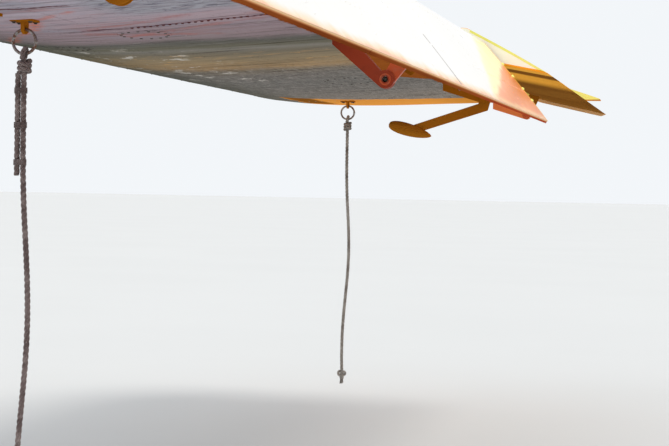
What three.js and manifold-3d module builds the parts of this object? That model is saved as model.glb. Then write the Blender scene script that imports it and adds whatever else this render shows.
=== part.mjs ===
// Right wing of a high-wing floatplane: a constant-chord panel with a slotted flap, a drooping aileron
// with its balance weight, external hinge brackets, and two tie-down rings with their ropes.
// Millimetres. The wing is drawn from its leading edge: x aft, y outboard from the root, z up from the
// chord line. The whole group is then moved so that the origin is on the front spar's root lug.

import * as THREE from "three";
import { mergeVertices } from "three/addons/utils/BufferGeometryUtils.js";
import Module from "manifold-3d";

const wasm = await Module();
wasm.setup();

// Wing
const CHORD = 1587.5;
const SPAN = 6600;
const THICKNESS = 0.15;
const CAMBER = 0.025;
const CAMBER_AT = 0.45;
const GAP = 0.3;
const RIB_INNER = 45;
const RIB_OUTER = 57;
const NOSE_JOINT = 230;
const AFT_JOINT = 1067;
const BAY_SPLIT = 4045;
const TIP_START = 5720;

// Spars, lugs and the origin
const FRONT_SPAR = 476;
const REAR_SPAR = 1035;
const LUG_Z = 20;
const LUG_HOLE = 11;
const STRUT_Y = 2150;
const STRUT_DROP = 88;

// Wing tip
const TIP_SWEEP = 430;
const TIP_CENTRE_Z = -30;
const TIP_THINNING = 0.88;
const TIP_STATIONS = 10;
const TIP_FULL_FROM = 0.62;
const TIP_FULL_AT = 0.78;
const TIP_FALL = 31;
const LAMP_RADIUS = 26;
const LAMP_STRETCH = { x: 1.8, y: 0.9, z: 0.8 };
const LAMP_AFT = 90;
const LAMP_Z = -8;

// Flap, drawn retracted, turned down about its hinge
const FLAP_HINGE = { x: 1231, z: -165 };
const FLAP_DOWN = 37;
const FLAP_INNER = 70;
const FLAP_OUTER = 4040;
const FLAP_LIP = 1245;
const FLAP_WALL = 1168;
const FLAP_STATIONS = { inboard: 1200, outboard: 3270 };
const FLAP_NOSE = { x: 1190, z: -4 };
const FLAP_FLUSH_FROM = 1260;

// Aileron, drawn level, drooped about its hinge
const AILERON_HINGE = { x: 1275, z: -125 };
const AILERON_DROOP = 17;
const AILERON_TWIST = { inboard: -1.5, outboard: 0.5 };
const AILERON_INNER = 4050;
const AILERON_OUTER = 6530;
const AILERON_BAY_END = 6538;
const AILERON_LIP = 1245;
const AILERON_WALL = 1150;
const AILERON_FLUSH_FROM = 1285;
const AILERON_STATIONS = { inboard: 4830, outboard: 6150 };
const AILERON_NOSE = { x: 1222, z: 0 };

// Skins and edges
const END_RIB = 10;
const LIP_EDGE = 2.5;
const SHROUD = 8;
const TRAILING_EDGE = 2;
const BAY_OUTLINE_END = 20;
const TIP_OUTLINE_END = 12;

// Hinges
const PIN_OUTER = 12.5;
const PIN_INNER = 9;
const RUNNING = 0.3;
const CHEEK = 5;
const ARM_HALF = 6;
const EYE_STEPS = 16;
const CHEEK_GAP = 0.6;
const PIN_PROUD = 3;
const FOOT = { x0: 1071, x1: 1119, end: 1148, half: 32, thickness: 5 };
const LIGHTENING = { x: 1184, z: -88, r: 9 };
const FLAP_HEEL = { x: 1071, z: -63 };
const FLAP_EYES = { fixed: { radius: 27, aft: 7 }, moving: { radius: 25, forward: 12 } };
const AILERON_HEEL = { x: 1119, z: -97 };
const AILERON_EYES = { fixed: { radius: 19 }, moving: { radius: 18.5 } };

// Aileron balance
const BALANCE_PLATE = 6;
const BALANCE_LENGTH = 176;
const BALANCE_RADIUS = 25;
const BALANCE_CENTRE = { x: -288, z: -125 };
const BALANCE_CLEARANCE = 2;

// Fairlead plate with the eye that the aileron cable runs through
const FAIRLEAD = { y: 4170, thickness: 8, eye: { x: 1121, z: -67, r: 6 } };

// Tie-downs and ropes
const TIEDOWN_X = 510;
const TIEDOWNS = { inboard: { y: 2385, rope: 1190 }, outboard: { y: 5785, rope: 1090 } };
const EYE_BASE = { along: 30, across: 22, half: 5 };
const EYE_PLATE_HALF = 4;
const EYE_HALF = 15;
const EYE_HOLE = 8;
const EYE_DROP = 20;
const RING_RADIUS = 30;
const RING_WIRE = 4;
const LOOP_SLACK = 2.5;
const THROAT = { radius: 14, stretch: 1.45, below: 12 };
const KNOT = { radius: 15, stretch: 1.2 };
const ROPE_DIAMETER = 15;
const ROPE_STEPS = 34;
const TAIL_LENGTH = 250;

// How the hanging ropes bend: share of the length, then millimetres off the plumb line in x and y
const ROPE_BENDS = [
  [0, 0, 0],
  [0.04, 0, 0],
  [0.12, 0, 0],
  [0.2, 1, 0],
  [0.28, 4, 2],
  [0.36, 9, 5],
  [0.44, 13, 8],
  [0.52, 14, 9],
  [0.6, 11, 7],
  [0.68, 5, 3],
  [0.76, -1, -2],
  [0.84, -5, -6],
  [0.92, -6, -8],
  [0.97, -5, -8],
  [1, -4, -8],
];

const colours = {
  yellow: 0xe6a01e,
  underside: 0x6f6a62,
  flapTop: 0xf2e6c8,
  redOrange: 0xc4441c,
  steel: 0x5c5650,
  rope: 0x8d7d6c,
  lens: 0x2c9a4a,
};
const finish = (colour, roughness, metalness) =>
  new THREE.MeshStandardMaterial({ color: colours[colour], roughness, metalness });
const materials = {
  yellow: finish("yellow", 0.35, 0.1),
  underside: finish("underside", 0.25, 0.3),
  flapTop: finish("flapTop", 0.4, 0.0),
  redOrange: finish("redOrange", 0.45, 0.1),
  steel: finish("steel", 0.5, 0.8),
  rope: finish("rope", 0.95, 0.0),
  lens: finish("lens", 0.1, 0.0),
};

// Aerofoil: heights of the upper (side 1) and lower (side -1) surface at x
function halfThickness(s) {
  const root = 0.2969 * Math.sqrt(s);
  return 5 * THICKNESS * (root - 0.126 * s - 0.3516 * s ** 2 + 0.2843 * s ** 3 - 0.1036 * s ** 4);
}

function camberLine(s) {
  const p = CAMBER_AT;
  if (s < p) return (CAMBER / p ** 2) * (2 * p * s - s * s);
  return (CAMBER / (1 - p) ** 2) * (1 - 2 * p + 2 * p * s - s * s);
}

function skinZ(x, side) {
  const s = Math.min(Math.max(x / CHORD, 0), 1);
  return CHORD * (camberLine(s) + side * halfThickness(s));
}

// Points along one surface from x0 to x1, closer together towards the nose
function skinPoints(x0, x1, side, count) {
  const points = [];
  for (let i = 0; i <= count; i += 1) {
    const a = Math.acos(1 - (2 * x0) / CHORD);
    const b = Math.acos(1 - (2 * x1) / CHORD);
    const x = (CHORD / 2) * (1 - Math.cos(a + ((b - a) * i) / count));
    points.push(new THREE.Vector2(x, skinZ(x, side)));
  }
  return points;
}

// Solids
function solidOf(geometry) {
  const bare = geometry.index ? geometry : geometry.clone();
  bare.deleteAttribute("normal");
  bare.deleteAttribute("uv");
  const merged = mergeVertices(bare, 1e-3);
  return new wasm.Manifold(
    new wasm.Mesh({
      numProp: 3,
      vertProperties: new Float32Array(merged.attributes.position.array),
      triVerts: new Uint32Array(merged.index.array),
    }),
  );
}

function geometryOf(solid) {
  const mesh = solid.getMesh();
  const geometry = new THREE.BufferGeometry();
  geometry.setAttribute("position", new THREE.BufferAttribute(new Float32Array(mesh.vertProperties), 3));
  geometry.setIndex(new THREE.BufferAttribute(new Uint32Array(mesh.triVerts), 1));
  return geometry;
}

const join = (...geometries) => geometryOf(geometries.map(solidOf).reduce((a, b) => a.add(b)));
const cut = (geometry, tool) => geometryOf(solidOf(geometry).subtract(solidOf(tool)));

// An outline in x and z, swept from y0 to y1
function prism(points, y0, y1, holes = []) {
  const shape = new THREE.Shape(points);
  for (const hole of holes) {
    const path = new THREE.Path();
    path.absarc(hole.x, hole.z, hole.r, 0, Math.PI * 2);
    shape.holes.push(path);
  }
  const settings = { depth: y1 - y0, bevelEnabled: false, curveSegments: 12 };
  const geometry = new THREE.ExtrudeGeometry(shape, settings);
  geometry.rotateX(Math.PI / 2);
  geometry.translate(0, y1, 0);
  return geometry;
}

const point = (x, z) => new THREE.Vector2(x, z);

// An outline in y and z, swept from x0 to x1
function prismAlongX(points, x0, x1, holes = []) {
  return prism(points, -x1, -x0, holes).rotateZ(Math.PI / 2);
}

function box(x0, x1, y0, y1, z0, z1) {
  return prism([point(x0, z0), point(x1, z0), point(x1, z1), point(x0, z1)], y0, y1);
}

// A disc or sleeve along y, centred on x and z
function disc(x, z, radius, y0, y1, sides = 24) {
  const geometry = new THREE.CylinderGeometry(radius, radius, y1 - y0, sides);
  geometry.translate(x, (y0 + y1) / 2, z);
  return geometry;
}

function curvePoints(curve, count) {
  return curve.getPoints(count).map((p) => point(p.x, p.y));
}

// An arm from a round eye up to a straight seat. Its forward and aft edges touch circles about the hinge:
// the eye itself, or a smaller one, which leaves a notch above the eye
function armOutline(hinge, { radius, forward = radius, aft = radius }, seat) {
  const centre = point(hinge.x, hinge.z);
  const first = seat[0].clone().sub(centre);
  const last = seat[seat.length - 1].clone().sub(centre);
  const lean = (v, touched) => Math.acos(touched / v.length()) - Math.acos(touched / radius);
  const from = last.angle() - lean(last, aft);
  const to = first.angle() + lean(first, forward) - Math.PI * 2;
  const eye = [];
  for (let i = 0; i <= EYE_STEPS; i += 1) {
    const a = from + ((to - from) * i) / EYE_STEPS;
    eye.push(point(hinge.x + radius * Math.cos(a), hinge.z + radius * Math.sin(a)));
  }
  return [...seat, ...eye];
}

const root = new THREE.Group();
const wing = new THREE.Group();
const flapGroup = new THREE.Group();
const aileronGroup = new THREE.Group();

// A group that turns about a hinge line while its meshes keep the wing's own coordinates
function hinged(group, hinge, degrees) {
  const inner = new THREE.Group();
  inner.position.set(-hinge.x, 0, -hinge.z);
  group.position.set(hinge.x, 0, hinge.z);
  group.rotation.y = THREE.MathUtils.degToRad(degrees);
  group.add(inner);
  wing.add(group);
  return inner;
}
const flapParts = hinged(flapGroup, FLAP_HINGE, FLAP_DOWN);
const aileronParts = hinged(aileronGroup, AILERON_HINGE, AILERON_DROOP);

function add(group, name, geometry, material) {
  const mesh = new THREE.Mesh(geometry, materials[material]);
  mesh.name = name;
  group.add(mesh);
  return mesh;
}

// Room behind the rear joint that a moving surface needs: below the shroud lip and behind the bay wall
function bayCutter(lip, wall, y0, y1) {
  const deep = 400;
  const roofSteps = 3;
  const wallTop = point(wall, skinZ(wall, -1) + 30);
  const behind = CHORD + deep;
  const outside = [point(lip, deep), point(behind, deep), point(behind, -deep), point(wall, -deep)];
  const corner = new THREE.QuadraticBezierCurve(
    wallTop,
    point(wall + 4, skinZ(wall + 40, 1) - 2 * SHROUD),
    point(wall + 55, skinZ(wall + 55, 1) - SHROUD),
  );
  const roof = skinPoints(wall + 60, lip, 1, roofSteps).map((p, i) => {
    const thickness = THREE.MathUtils.lerp(SHROUD, LIP_EDGE, i / roofSteps);
    return point(p.x, p.y - thickness);
  });
  return prism([...outside, ...curvePoints(corner, 5), ...roof], y0, y1);
}

const flapBay = (y0, y1) => bayCutter(FLAP_LIP, FLAP_WALL, y0, y1);
const aileronBay = (y0, y1) => bayCutter(AILERON_LIP, AILERON_WALL, y0, y1);

// Closed outline of the wing between two stations along the chord
function sectionBetween(x0, x1, count) {
  const upper = skinPoints(x0, x1, 1, count).reverse();
  const lower = skinPoints(x0, x1, -1, count);
  return x0 > 0 ? [...upper, ...lower] : [...upper, ...lower.slice(1)];
}

const centreOutline = sectionBetween(NOSE_JOINT, AFT_JOINT - GAP, 9);
const aftOutline = sectionBetween(AFT_JOINT, CHORD - BAY_OUTLINE_END, 8);
const wholeOutline = sectionBetween(0, CHORD - BAY_OUTLINE_END, 16);

function wingPanels() {
  const noseInner = RIB_OUTER + GAP;
  const tipSide = TIP_START - GAP;
  add(wing, "leading_edge", prism(sectionBetween(0, NOSE_JOINT - GAP, 9), noseInner, tipSide), "underside");
  add(wing, "centre_panel", prism(centreOutline, noseInner, tipSide), "underside");
  const flapBayPanel = cut(prism(aftOutline, noseInner, BAY_SPLIT), flapBay(0, SPAN));
  add(wing, "flap_bay_panel", flapBayPanel, "yellow");
  const aileronBayPanel = cut(prism(aftOutline, BAY_SPLIT + GAP, tipSide), aileronBay(BAY_SPLIT, SPAN));
  add(wing, "aileron_bay_panel", aileronBayPanel, "yellow");
  const rib = cut(prism(wholeOutline, RIB_INNER, RIB_OUTER), flapBay(0, SPAN));
  add(wing, "root_rib", rib, "yellow");
}

// One outline of the tip at a share of its width: the nose sweeps back and the section thins
function tipRing(share) {
  const nose = TIP_SWEEP * (1 - Math.sqrt(1 - share * share));
  const thin = Math.sqrt(1 - TIP_THINNING * share * share);
  const upper = skinPoints(0, CHORD - TIP_OUTLINE_END, 1, 16).reverse();
  const lower = skinPoints(0, CHORD - TIP_OUTLINE_END, -1, 16).slice(1);
  return [...upper, ...lower].map((p, i) => {
    const side = i < upper.length ? 1 : -1;
    const x = nose + (p.x * (CHORD - nose)) / CHORD;
    const thinned = TIP_CENTRE_Z + (p.y - TIP_CENTRE_Z) * thin;
    const aft = THREE.MathUtils.smoothstep(x, TIP_FULL_FROM * CHORD, TIP_FULL_AT * CHORD);
    const fall = (TIP_FALL * share * share * Math.max(x - AILERON_LIP, 0)) / (CHORD - AILERON_LIP);
    return point(x, THREE.MathUtils.lerp(thinned, skinZ(x, side), aft) - fall);
  });
}

// A closed body through rings of points at given y, all with the same number of points
function loft(rings) {
  const count = rings[0].outline.length;
  const vertices = rings.flatMap(({ y, outline }) => outline.flatMap((p) => [p.x, y, p.y]));
  const faces = [];
  for (let r = 0; r + 1 < rings.length; r += 1) {
    for (let i = 0; i < count; i += 1) {
      const a = r * count + i;
      const b = r * count + ((i + 1) % count);
      faces.push(a, a + count, b, b, a + count, b + count);
    }
  }
  const last = (rings.length - 1) * count;
  for (const [a, b, c] of THREE.ShapeUtils.triangulateShape(rings[0].outline, [])) faces.push(a, b, c);
  for (const [a, b, c] of THREE.ShapeUtils.triangulateShape(rings.at(-1).outline, [])) {
    faces.push(last + a, last + c, last + b);
  }
  const geometry = new THREE.BufferGeometry();
  geometry.setAttribute("position", new THREE.Float32BufferAttribute(vertices, 3));
  geometry.setIndex(faces);
  return geometry;
}

function wingTip() {
  const rings = [];
  for (let i = 0; i <= TIP_STATIONS; i += 1) {
    const share = Math.sin((i / TIP_STATIONS) * (Math.PI / 2));
    rings.push({ y: TIP_START + share * (SPAN - TIP_START), outline: tipRing(share) });
  }
  add(wing, "wing_tip", cut(loft(rings), aileronBay(TIP_START - 50, AILERON_BAY_END)), "yellow");
  const { x, y, z } = LAMP_STRETCH;
  const lamp = new THREE.SphereGeometry(LAMP_RADIUS, 14, 10).scale(x, y, z);
  lamp.translate(TIP_SWEEP + LAMP_AFT, SPAN + LAMP_RADIUS * y + GAP, LAMP_Z);
  add(wing, "navigation_light", lamp, "lens");
}

function flapOutline() {
  const { x, z } = FLAP_NOSE;
  const nose = point(x, z);
  const flush = point(FLAP_FLUSH_FROM, skinZ(FLAP_FLUSH_FROM, 1));
  const top = new THREE.CubicBezierCurve(flush, point(x + 50, z + 70), point(x + 4, z + 65), nose);
  const bottom = new THREE.QuadraticBezierCurve(nose, point(x, z - 30), point(x + 56, skinZ(x + 56, -1)));
  const upper = skinPoints(FLAP_FLUSH_FROM + 8, CHORD - TRAILING_EDGE, 1, 6).reverse();
  const lower = skinPoints(x + 70, CHORD - TRAILING_EDGE, -1, 5);
  return [...upper, ...curvePoints(top, 12), ...curvePoints(bottom, 5).slice(1), ...lower];
}

// The aileron's outline, turned a little about its hinge
function aileronOutline(twist = 0) {
  const { x, z } = AILERON_NOSE;
  const nose = point(x, z);
  const flush = point(AILERON_FLUSH_FROM, skinZ(AILERON_FLUSH_FROM, 1));
  const front = new THREE.CubicBezierCurve(flush, point(x + 32, flush.y), point(x, z + 50), nose);
  const bottom = new THREE.QuadraticBezierCurve(nose, point(x, z - 30), point(x + 53, skinZ(x + 53, -1)));
  const upper = skinPoints(AILERON_FLUSH_FROM + 10, CHORD - TRAILING_EDGE, 1, 6).reverse();
  const lower = skinPoints(x + 68, CHORD - TRAILING_EDGE, -1, 5);
  const level = [...upper, ...curvePoints(front, 10), ...curvePoints(bottom, 5).slice(1), ...lower];
  const centre = point(AILERON_HINGE.x, AILERON_HINGE.z);
  return level.map((p) => p.rotateAround(centre, -THREE.MathUtils.degToRad(twist)));
}

// How far the aileron is twisted at a station, in degrees: its trailing edge falls towards the tip
function aileronTwist(y) {
  const share = (y - AILERON_INNER) / (AILERON_OUTER - AILERON_INNER);
  return THREE.MathUtils.lerp(AILERON_TWIST.inboard, AILERON_TWIST.outboard, share);
}

// A moving surface: its skin between two end ribs
function movingSurface(group, name, outlineAt, y0, y1, material) {
  const between = (from, to) => {
    const rings = [from, to].map((y) => ({ y, outline: outlineAt(y) }));
    return loft(rings);
  };
  add(group, name, between(y0 + END_RIB + GAP, y1 - END_RIB - GAP), material);
  add(group, `${name}_rib_inboard`, between(y0, y0 + END_RIB), "yellow");
  add(group, `${name}_rib_outboard`, between(y1 - END_RIB, y1), "yellow");
}

// A piece with whatever would enter the body above it taken away, leaving a small gap under that body
function seated(geometry, carrier, y0, y1) {
  return cut(geometry, prism(carrier.map((p) => point(p.x - GAP, p.y - GAP)), y0 - 1, y1 + 1));
}

// Two cheeks with a blunt heel, a foot under the skin and a hollow pin: what carries a hinge
function hingeBracket(name, hinge, y, heel, eye, material, lighten = []) {
  const aft = heel.x + FOOT.x1 - FOOT.x0;
  const top = [heel.x, Math.min(aft, FOOT.end)].map((x) => point(x, skinZ(x, -1) + 5));
  const outline = armOutline(hinge, eye, [point(heel.x, heel.z), ...top]);
  const inner = ARM_HALF + CHEEK_GAP;
  const outer = inner + CHEEK;
  const cheeks = [
    prism(outline, y - outer, y - inner, lighten),
    prism(outline, y + inner, y + outer, lighten),
  ];
  const low = skinZ(FOOT.x0, -1) - FOOT.thickness;
  const plate = box(FOOT.x0, FOOT.end, y - FOOT.half, y + FOOT.half, low, low + 3 * FOOT.thickness);
  const pin = disc(hinge.x, hinge.z, PIN_OUTER, y - outer - PIN_PROUD, y + outer + PIN_PROUD);
  const bore = disc(hinge.x, hinge.z, PIN_INNER, y - 2 * outer, y + 2 * outer);
  const whole = cut(join(...cheeks, plate, pin), bore);
  add(wing, name, seated(whole, aftOutline, y - FOOT.half, y + FOOT.half), material);
}

// The swinging arm between the cheeks, seated on a moving surface's lower skin
function hingeArm(group, name, hinge, y, carrier, seat, eye, material) {
  const hole = { x: hinge.x, z: hinge.z, r: PIN_OUTER + RUNNING };
  const arm = prism(armOutline(hinge, eye, seat), y - ARM_HALF, y + ARM_HALF, [hole]);
  add(group, name, seated(arm, carrier, y - ARM_HALF, y + ARM_HALF), material);
}

function flap() {
  const outline = flapOutline();
  const seat = [point(FLAP_NOSE.x + 8, 0), point(FLAP_NOSE.x + 72, -10)];
  movingSurface(flapParts, "flap", () => outline, FLAP_INNER, FLAP_OUTER, "flapTop");
  for (const [place, y] of Object.entries(FLAP_STATIONS)) {
    hingeBracket(`flap_bracket_${place}`, FLAP_HINGE, y, FLAP_HEEL, FLAP_EYES.fixed, "redOrange");
    hingeArm(flapParts, `flap_arm_${place}`, FLAP_HINGE, y, outline, seat, FLAP_EYES.moving, "redOrange");
  }
}

function aileron() {
  const seat = [point(AILERON_NOSE.x + 36, 0), point(AILERON_NOSE.x + 88, 0)];
  const { fixed, moving } = AILERON_EYES;
  const outlineAt = (y) => aileronOutline(aileronTwist(y));
  movingSurface(aileronParts, "aileron", outlineAt, AILERON_INNER, AILERON_OUTER, "yellow");
  const { inboard, outboard } = AILERON_STATIONS;
  hingeBracket("aileron_bracket_inboard", AILERON_HINGE, inboard, AILERON_HEEL, fixed, "yellow", [LIGHTENING]);
  hingeBracket("aileron_bracket_outboard", AILERON_HINGE, outboard, AILERON_HEEL, fixed, "redOrange");
  for (const [place, y] of Object.entries(AILERON_STATIONS)) {
    hingeArm(aileronParts, `aileron_arm_${place}`, AILERON_HINGE, y, outlineAt(y), seat, moving, "yellow");
  }
  aileronBalance(outlineAt(inboard));
}

// A point given from the aileron's hinge as it hangs drooped, turned back to the level aileron
function drooped(dx, dz) {
  const turn = THREE.MathUtils.degToRad(AILERON_DROOP);
  return point(dx, dz).rotateAround(point(0, 0), turn).add(point(AILERON_HINGE.x, AILERON_HINGE.z));
}

// The streamlined weight, blunt end forward
function balanceBody(radius, length) {
  const profile = [];
  for (let i = 16; i >= 0; i -= 1) {
    const t = i / 16;
    const fullness = i % 16 === 0 ? 0 : 2.068 * t ** 0.5 * (1 - t) ** 0.55;
    profile.push(new THREE.Vector2(radius * fullness, length * (0.5 - t)));
  }
  return new THREE.LatheGeometry(profile, 18).rotateZ(Math.PI / 2);
}

// Flat arm and weight that balance the aileron ahead of its hinge
function aileronBalance(carrier) {
  const beside = ARM_HALF + CHEEK_GAP + CHEEK + PIN_PROUD + BALANCE_CLEARANCE;
  const y0 = AILERON_STATIONS.inboard + beside;
  const middle = y0 + BALANCE_PLATE / 2;
  const end = drooped(BALANCE_CENTRE.x, BALANCE_CENTRE.z);
  const outline = [
    drooped(-285, -107),
    drooped(-21, -20),
    drooped(6, 122),
    drooped(64, 104),
    drooped(24, -14),
    drooped(15, -46),
    drooped(-239, -127),
  ];
  const place = (body) => body.translate(end.x, middle, end.y);
  const clear = place(balanceBody(BALANCE_RADIUS + GAP, BALANCE_LENGTH + 2 * GAP));
  const plate = cut(prism(outline, y0, y0 + BALANCE_PLATE), clear);
  add(aileronParts, "balance_arm", seated(plate, carrier, y0, y0 + BALANCE_PLATE), "yellow");
  add(aileronParts, "balance_weight", place(balanceBody(BALANCE_RADIUS, BALANCE_LENGTH)), "yellow");
}

// Root lugs, each a block with a pin hole whose inboard end is cut square
function rootLugs() {
  const lugs = [
    { name: "front_spar_lug", x: FRONT_SPAR, z: LUG_Z, width: 30, height: 90 },
    { name: "rear_spar_lug", x: REAR_SPAR, z: LUG_Z + 10, width: 24, height: 70 },
  ];
  for (const { name, x, z, width, height } of lugs) {
    const side = [point(0, -height / 2), point(RIB_INNER - GAP, -height / 2)];
    const outline = [...side, point(RIB_INNER - GAP, height / 2), point(0, height / 2)];
    const hole = { x: RIB_INNER / 2, z: 0, r: LUG_HOLE };
    const lug = prismAlongX(outline, -width / 2, width / 2, [hole]);
    add(wing, name, lug.translate(x, 0, z), "steel");
  }
}

// What the lift strut pins to: a lug that leans inboard under the front spar, cut square at its end
function strutLug() {
  const z = skinZ(FRONT_SPAR, -1) - GAP;
  const pad = box(FRONT_SPAR - 45, FRONT_SPAR + 45, STRUT_Y - 90, STRUT_Y + 90, z - 6, z + 6);
  const outline = [
    point(STRUT_Y - 40, z),
    point(STRUT_Y - 95, z - STRUT_DROP),
    point(STRUT_Y - 45, z - STRUT_DROP),
    point(STRUT_Y + 60, z),
  ];
  const hole = { x: STRUT_Y - 55, z: z - STRUT_DROP + 32, r: LUG_HOLE };
  const lug = prismAlongX(outline, FRONT_SPAR - 12, FRONT_SPAR + 12, [hole]);
  add(wing, "strut_lug", seated(join(pad, lug), centreOutline, STRUT_Y - 90, STRUT_Y + 90), "redOrange");
}

// Small plate with an eye that leads the aileron cable past the end of the flap
function cableFairlead() {
  const outline = [
    point(1082, skinZ(1082, -1) + 4),
    point(1094, -70),
    point(1122, -87),
    point(1146, -68),
    point(1152, skinZ(1152, -1) + 4),
  ];
  const { y, thickness, eye } = FAIRLEAD;
  const plate = prism(outline, y, y + thickness, [eye]);
  add(wing, "cable_fairlead", seated(plate, aftOutline, y, y + thickness), "yellow");
}

// Eye plate under the front spar, with its hole along x
function tiedownEye(name, y) {
  const z = skinZ(TIEDOWN_X, -1);
  const { along, across, half } = EYE_BASE;
  const base = box(TIEDOWN_X - along, TIEDOWN_X + along, y - across, y + across, z - half, z + half);
  const tongue = [point(y + EYE_HALF, z + 2), point(y - EYE_HALF, z + 2)];
  for (let i = 0; i <= 10; i += 1) {
    const a = Math.PI + (Math.PI * i) / 10;
    tongue.push(point(y + EYE_HALF * Math.cos(a), z - EYE_DROP + EYE_HALF * Math.sin(a)));
  }
  const hole = { x: y, z: z - EYE_DROP, r: EYE_HOLE };
  const plate = prismAlongX(tongue, TIEDOWN_X - EYE_PLATE_HALF, TIEDOWN_X + EYE_PLATE_HALF, [hole]);
  add(wing, name, seated(join(base, plate), centreOutline, y - across, y + across), "redOrange");
  return z - EYE_DROP;
}

// A loose ring hanging in the eye, lying in the plane of x and z
function tiedownRing(name, y, holeZ) {
  const wireZ = holeZ - EYE_HOLE + RING_WIRE + 2 * GAP;
  const ring = new THREE.TorusGeometry(RING_RADIUS, RING_WIRE, 12, 32).rotateX(Math.PI / 2);
  add(wing, name, ring.translate(TIEDOWN_X, y, wireZ - RING_RADIUS), "steel");
  return wireZ - 2 * RING_RADIUS;
}

// The rope's eye: a loop round the ring's wire and the throat under it
function ropeEye(name, y, wireZ) {
  const radius = ROPE_DIAMETER / 2;
  const inside = RING_WIRE + LOOP_SLACK;
  const centre = wireZ - inside + RING_WIRE + GAP;
  const loop = new THREE.TorusGeometry(inside + radius, radius, 12, 24).rotateY(Math.PI / 2);
  loop.translate(TIEDOWN_X, y, centre);
  const throat = new THREE.SphereGeometry(THROAT.radius, 16, 12).scale(1, 1, THROAT.stretch);
  const throatZ = centre - inside - radius - THROAT.below;
  throat.translate(TIEDOWN_X, y, throatZ);
  add(wing, name, join(loop, throat), "rope");
  return throatZ - THROAT.radius * THROAT.stretch;
}

// A free rope hanging straight down with a trace of the bends it was stowed in
function hangingRope(place, y, topZ, length) {
  const route = ROPE_BENDS.map(([share, dx, dy]) => {
    return new THREE.Vector3(TIEDOWN_X + dx, y + dy, topZ - share * length);
  });
  const path = new THREE.CatmullRomCurve3(route);
  const circle = new THREE.Shape();
  circle.absarc(0, 0, ROPE_DIAMETER / 2, 0, Math.PI * 2);
  const options = { steps: ROPE_STEPS, curveSegments: 5, extrudePath: path, bevelEnabled: false };
  add(wing, `rope_${place}`, new THREE.ExtrudeGeometry(circle, options), "rope");
  const end = route.at(-1);
  const knot = new THREE.SphereGeometry(KNOT.radius, 14, 10).scale(1, 1, KNOT.stretch);
  knot.translate(end.x, end.y, end.z - KNOT.radius * KNOT.stretch - GAP);
  add(wing, `rope_knot_${place}`, knot, "rope");
}

// The rope's tail laid back beside it below the eye
function ropeTail(name, y, topZ) {
  const tail = new THREE.CylinderGeometry(ROPE_DIAMETER / 2, ROPE_DIAMETER / 2, TAIL_LENGTH, 12);
  tail.rotateX(Math.PI / 2);
  add(wing, name, tail.translate(TIEDOWN_X - ROPE_DIAMETER - 2 * GAP, y, topZ - TAIL_LENGTH / 2), "rope");
}

function tiedowns() {
  for (const [place, { y, rope }] of Object.entries(TIEDOWNS)) {
    const holeZ = tiedownEye(`tiedown_eye_${place}`, y);
    const wireZ = tiedownRing(`tiedown_ring_${place}`, y, holeZ);
    const ropeZ = ropeEye(`rope_eye_${place}`, y, wireZ);
    hangingRope(place, y, ropeZ - GAP, rope);
    if (place === "inboard") ropeTail("rope_tail_inboard", y, ropeZ - GAP);
  }
}

root.add(wing);
wing.position.set(-FRONT_SPAR, 0, -LUG_Z);
wingPanels();
wingTip();
rootLugs();
strutLug();
cableFairlead();
flap();
aileron();
tiedowns();

export default root;
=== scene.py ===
# Looks of a floatplane's right wing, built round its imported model.
# Metres, in the wing's own frame: x aft, y outboard, z up, with the origin on the front spar's root lug.
import math
import random

import bmesh
import bpy
from mathutils import Matrix, Vector, noise
from mathutils.geometry import tessellate_polygon


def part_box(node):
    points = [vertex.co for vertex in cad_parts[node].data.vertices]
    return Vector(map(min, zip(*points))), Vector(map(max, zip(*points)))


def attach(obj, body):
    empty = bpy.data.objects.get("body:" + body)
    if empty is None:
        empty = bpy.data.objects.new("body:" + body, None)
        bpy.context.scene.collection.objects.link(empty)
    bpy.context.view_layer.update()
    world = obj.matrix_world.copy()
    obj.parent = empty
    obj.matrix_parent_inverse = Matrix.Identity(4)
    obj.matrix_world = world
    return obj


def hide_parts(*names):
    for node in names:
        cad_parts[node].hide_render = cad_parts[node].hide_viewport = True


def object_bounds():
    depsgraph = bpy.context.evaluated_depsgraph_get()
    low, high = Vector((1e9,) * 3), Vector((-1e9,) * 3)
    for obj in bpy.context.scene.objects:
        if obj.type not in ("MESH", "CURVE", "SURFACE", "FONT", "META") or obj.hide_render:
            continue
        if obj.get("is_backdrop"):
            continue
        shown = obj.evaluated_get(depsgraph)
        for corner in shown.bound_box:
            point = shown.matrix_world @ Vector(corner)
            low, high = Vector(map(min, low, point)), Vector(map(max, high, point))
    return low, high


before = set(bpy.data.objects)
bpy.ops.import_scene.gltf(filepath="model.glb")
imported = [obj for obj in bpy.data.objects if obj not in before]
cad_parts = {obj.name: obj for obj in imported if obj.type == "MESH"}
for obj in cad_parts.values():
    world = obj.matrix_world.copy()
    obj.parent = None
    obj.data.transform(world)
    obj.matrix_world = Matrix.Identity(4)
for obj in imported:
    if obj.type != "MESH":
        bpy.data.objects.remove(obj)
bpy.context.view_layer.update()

# Wing section and panels, drawn from the leading edge and the chord line
CHORD = 1.5875
SPAN = 6.6
THICKNESS = 0.15
CAMBER = 0.025
CAMBER_AT = 0.45
FRONT_SPAR = 0.476
REAR_SPAR = 1.035
LUG_Z = 0.020
GAP = 0.0003
RIB_INNER = 0.045
RIB_OUTER = 0.057
NOSE_JOINT = 0.230
AFT_JOINT = 1.067
BAY_SPLIT = 4.045
TIP_START = 5.720
TIP_SWEEP = 0.430
TIP_CENTRE_Z = -0.030
TIP_THINNING = 0.88
TIP_FULL_FROM = 0.62
TIP_FULL_AT = 0.78
TIP_OUTLINE_END = 0.012
TIP_FALL = 0.031
SHROUD = 0.008
LIP_EDGE = 0.0025
COVE_ROOF = 0.060
COVE_CORNER = 0.055
COVE_FOOT = 0.030

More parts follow.
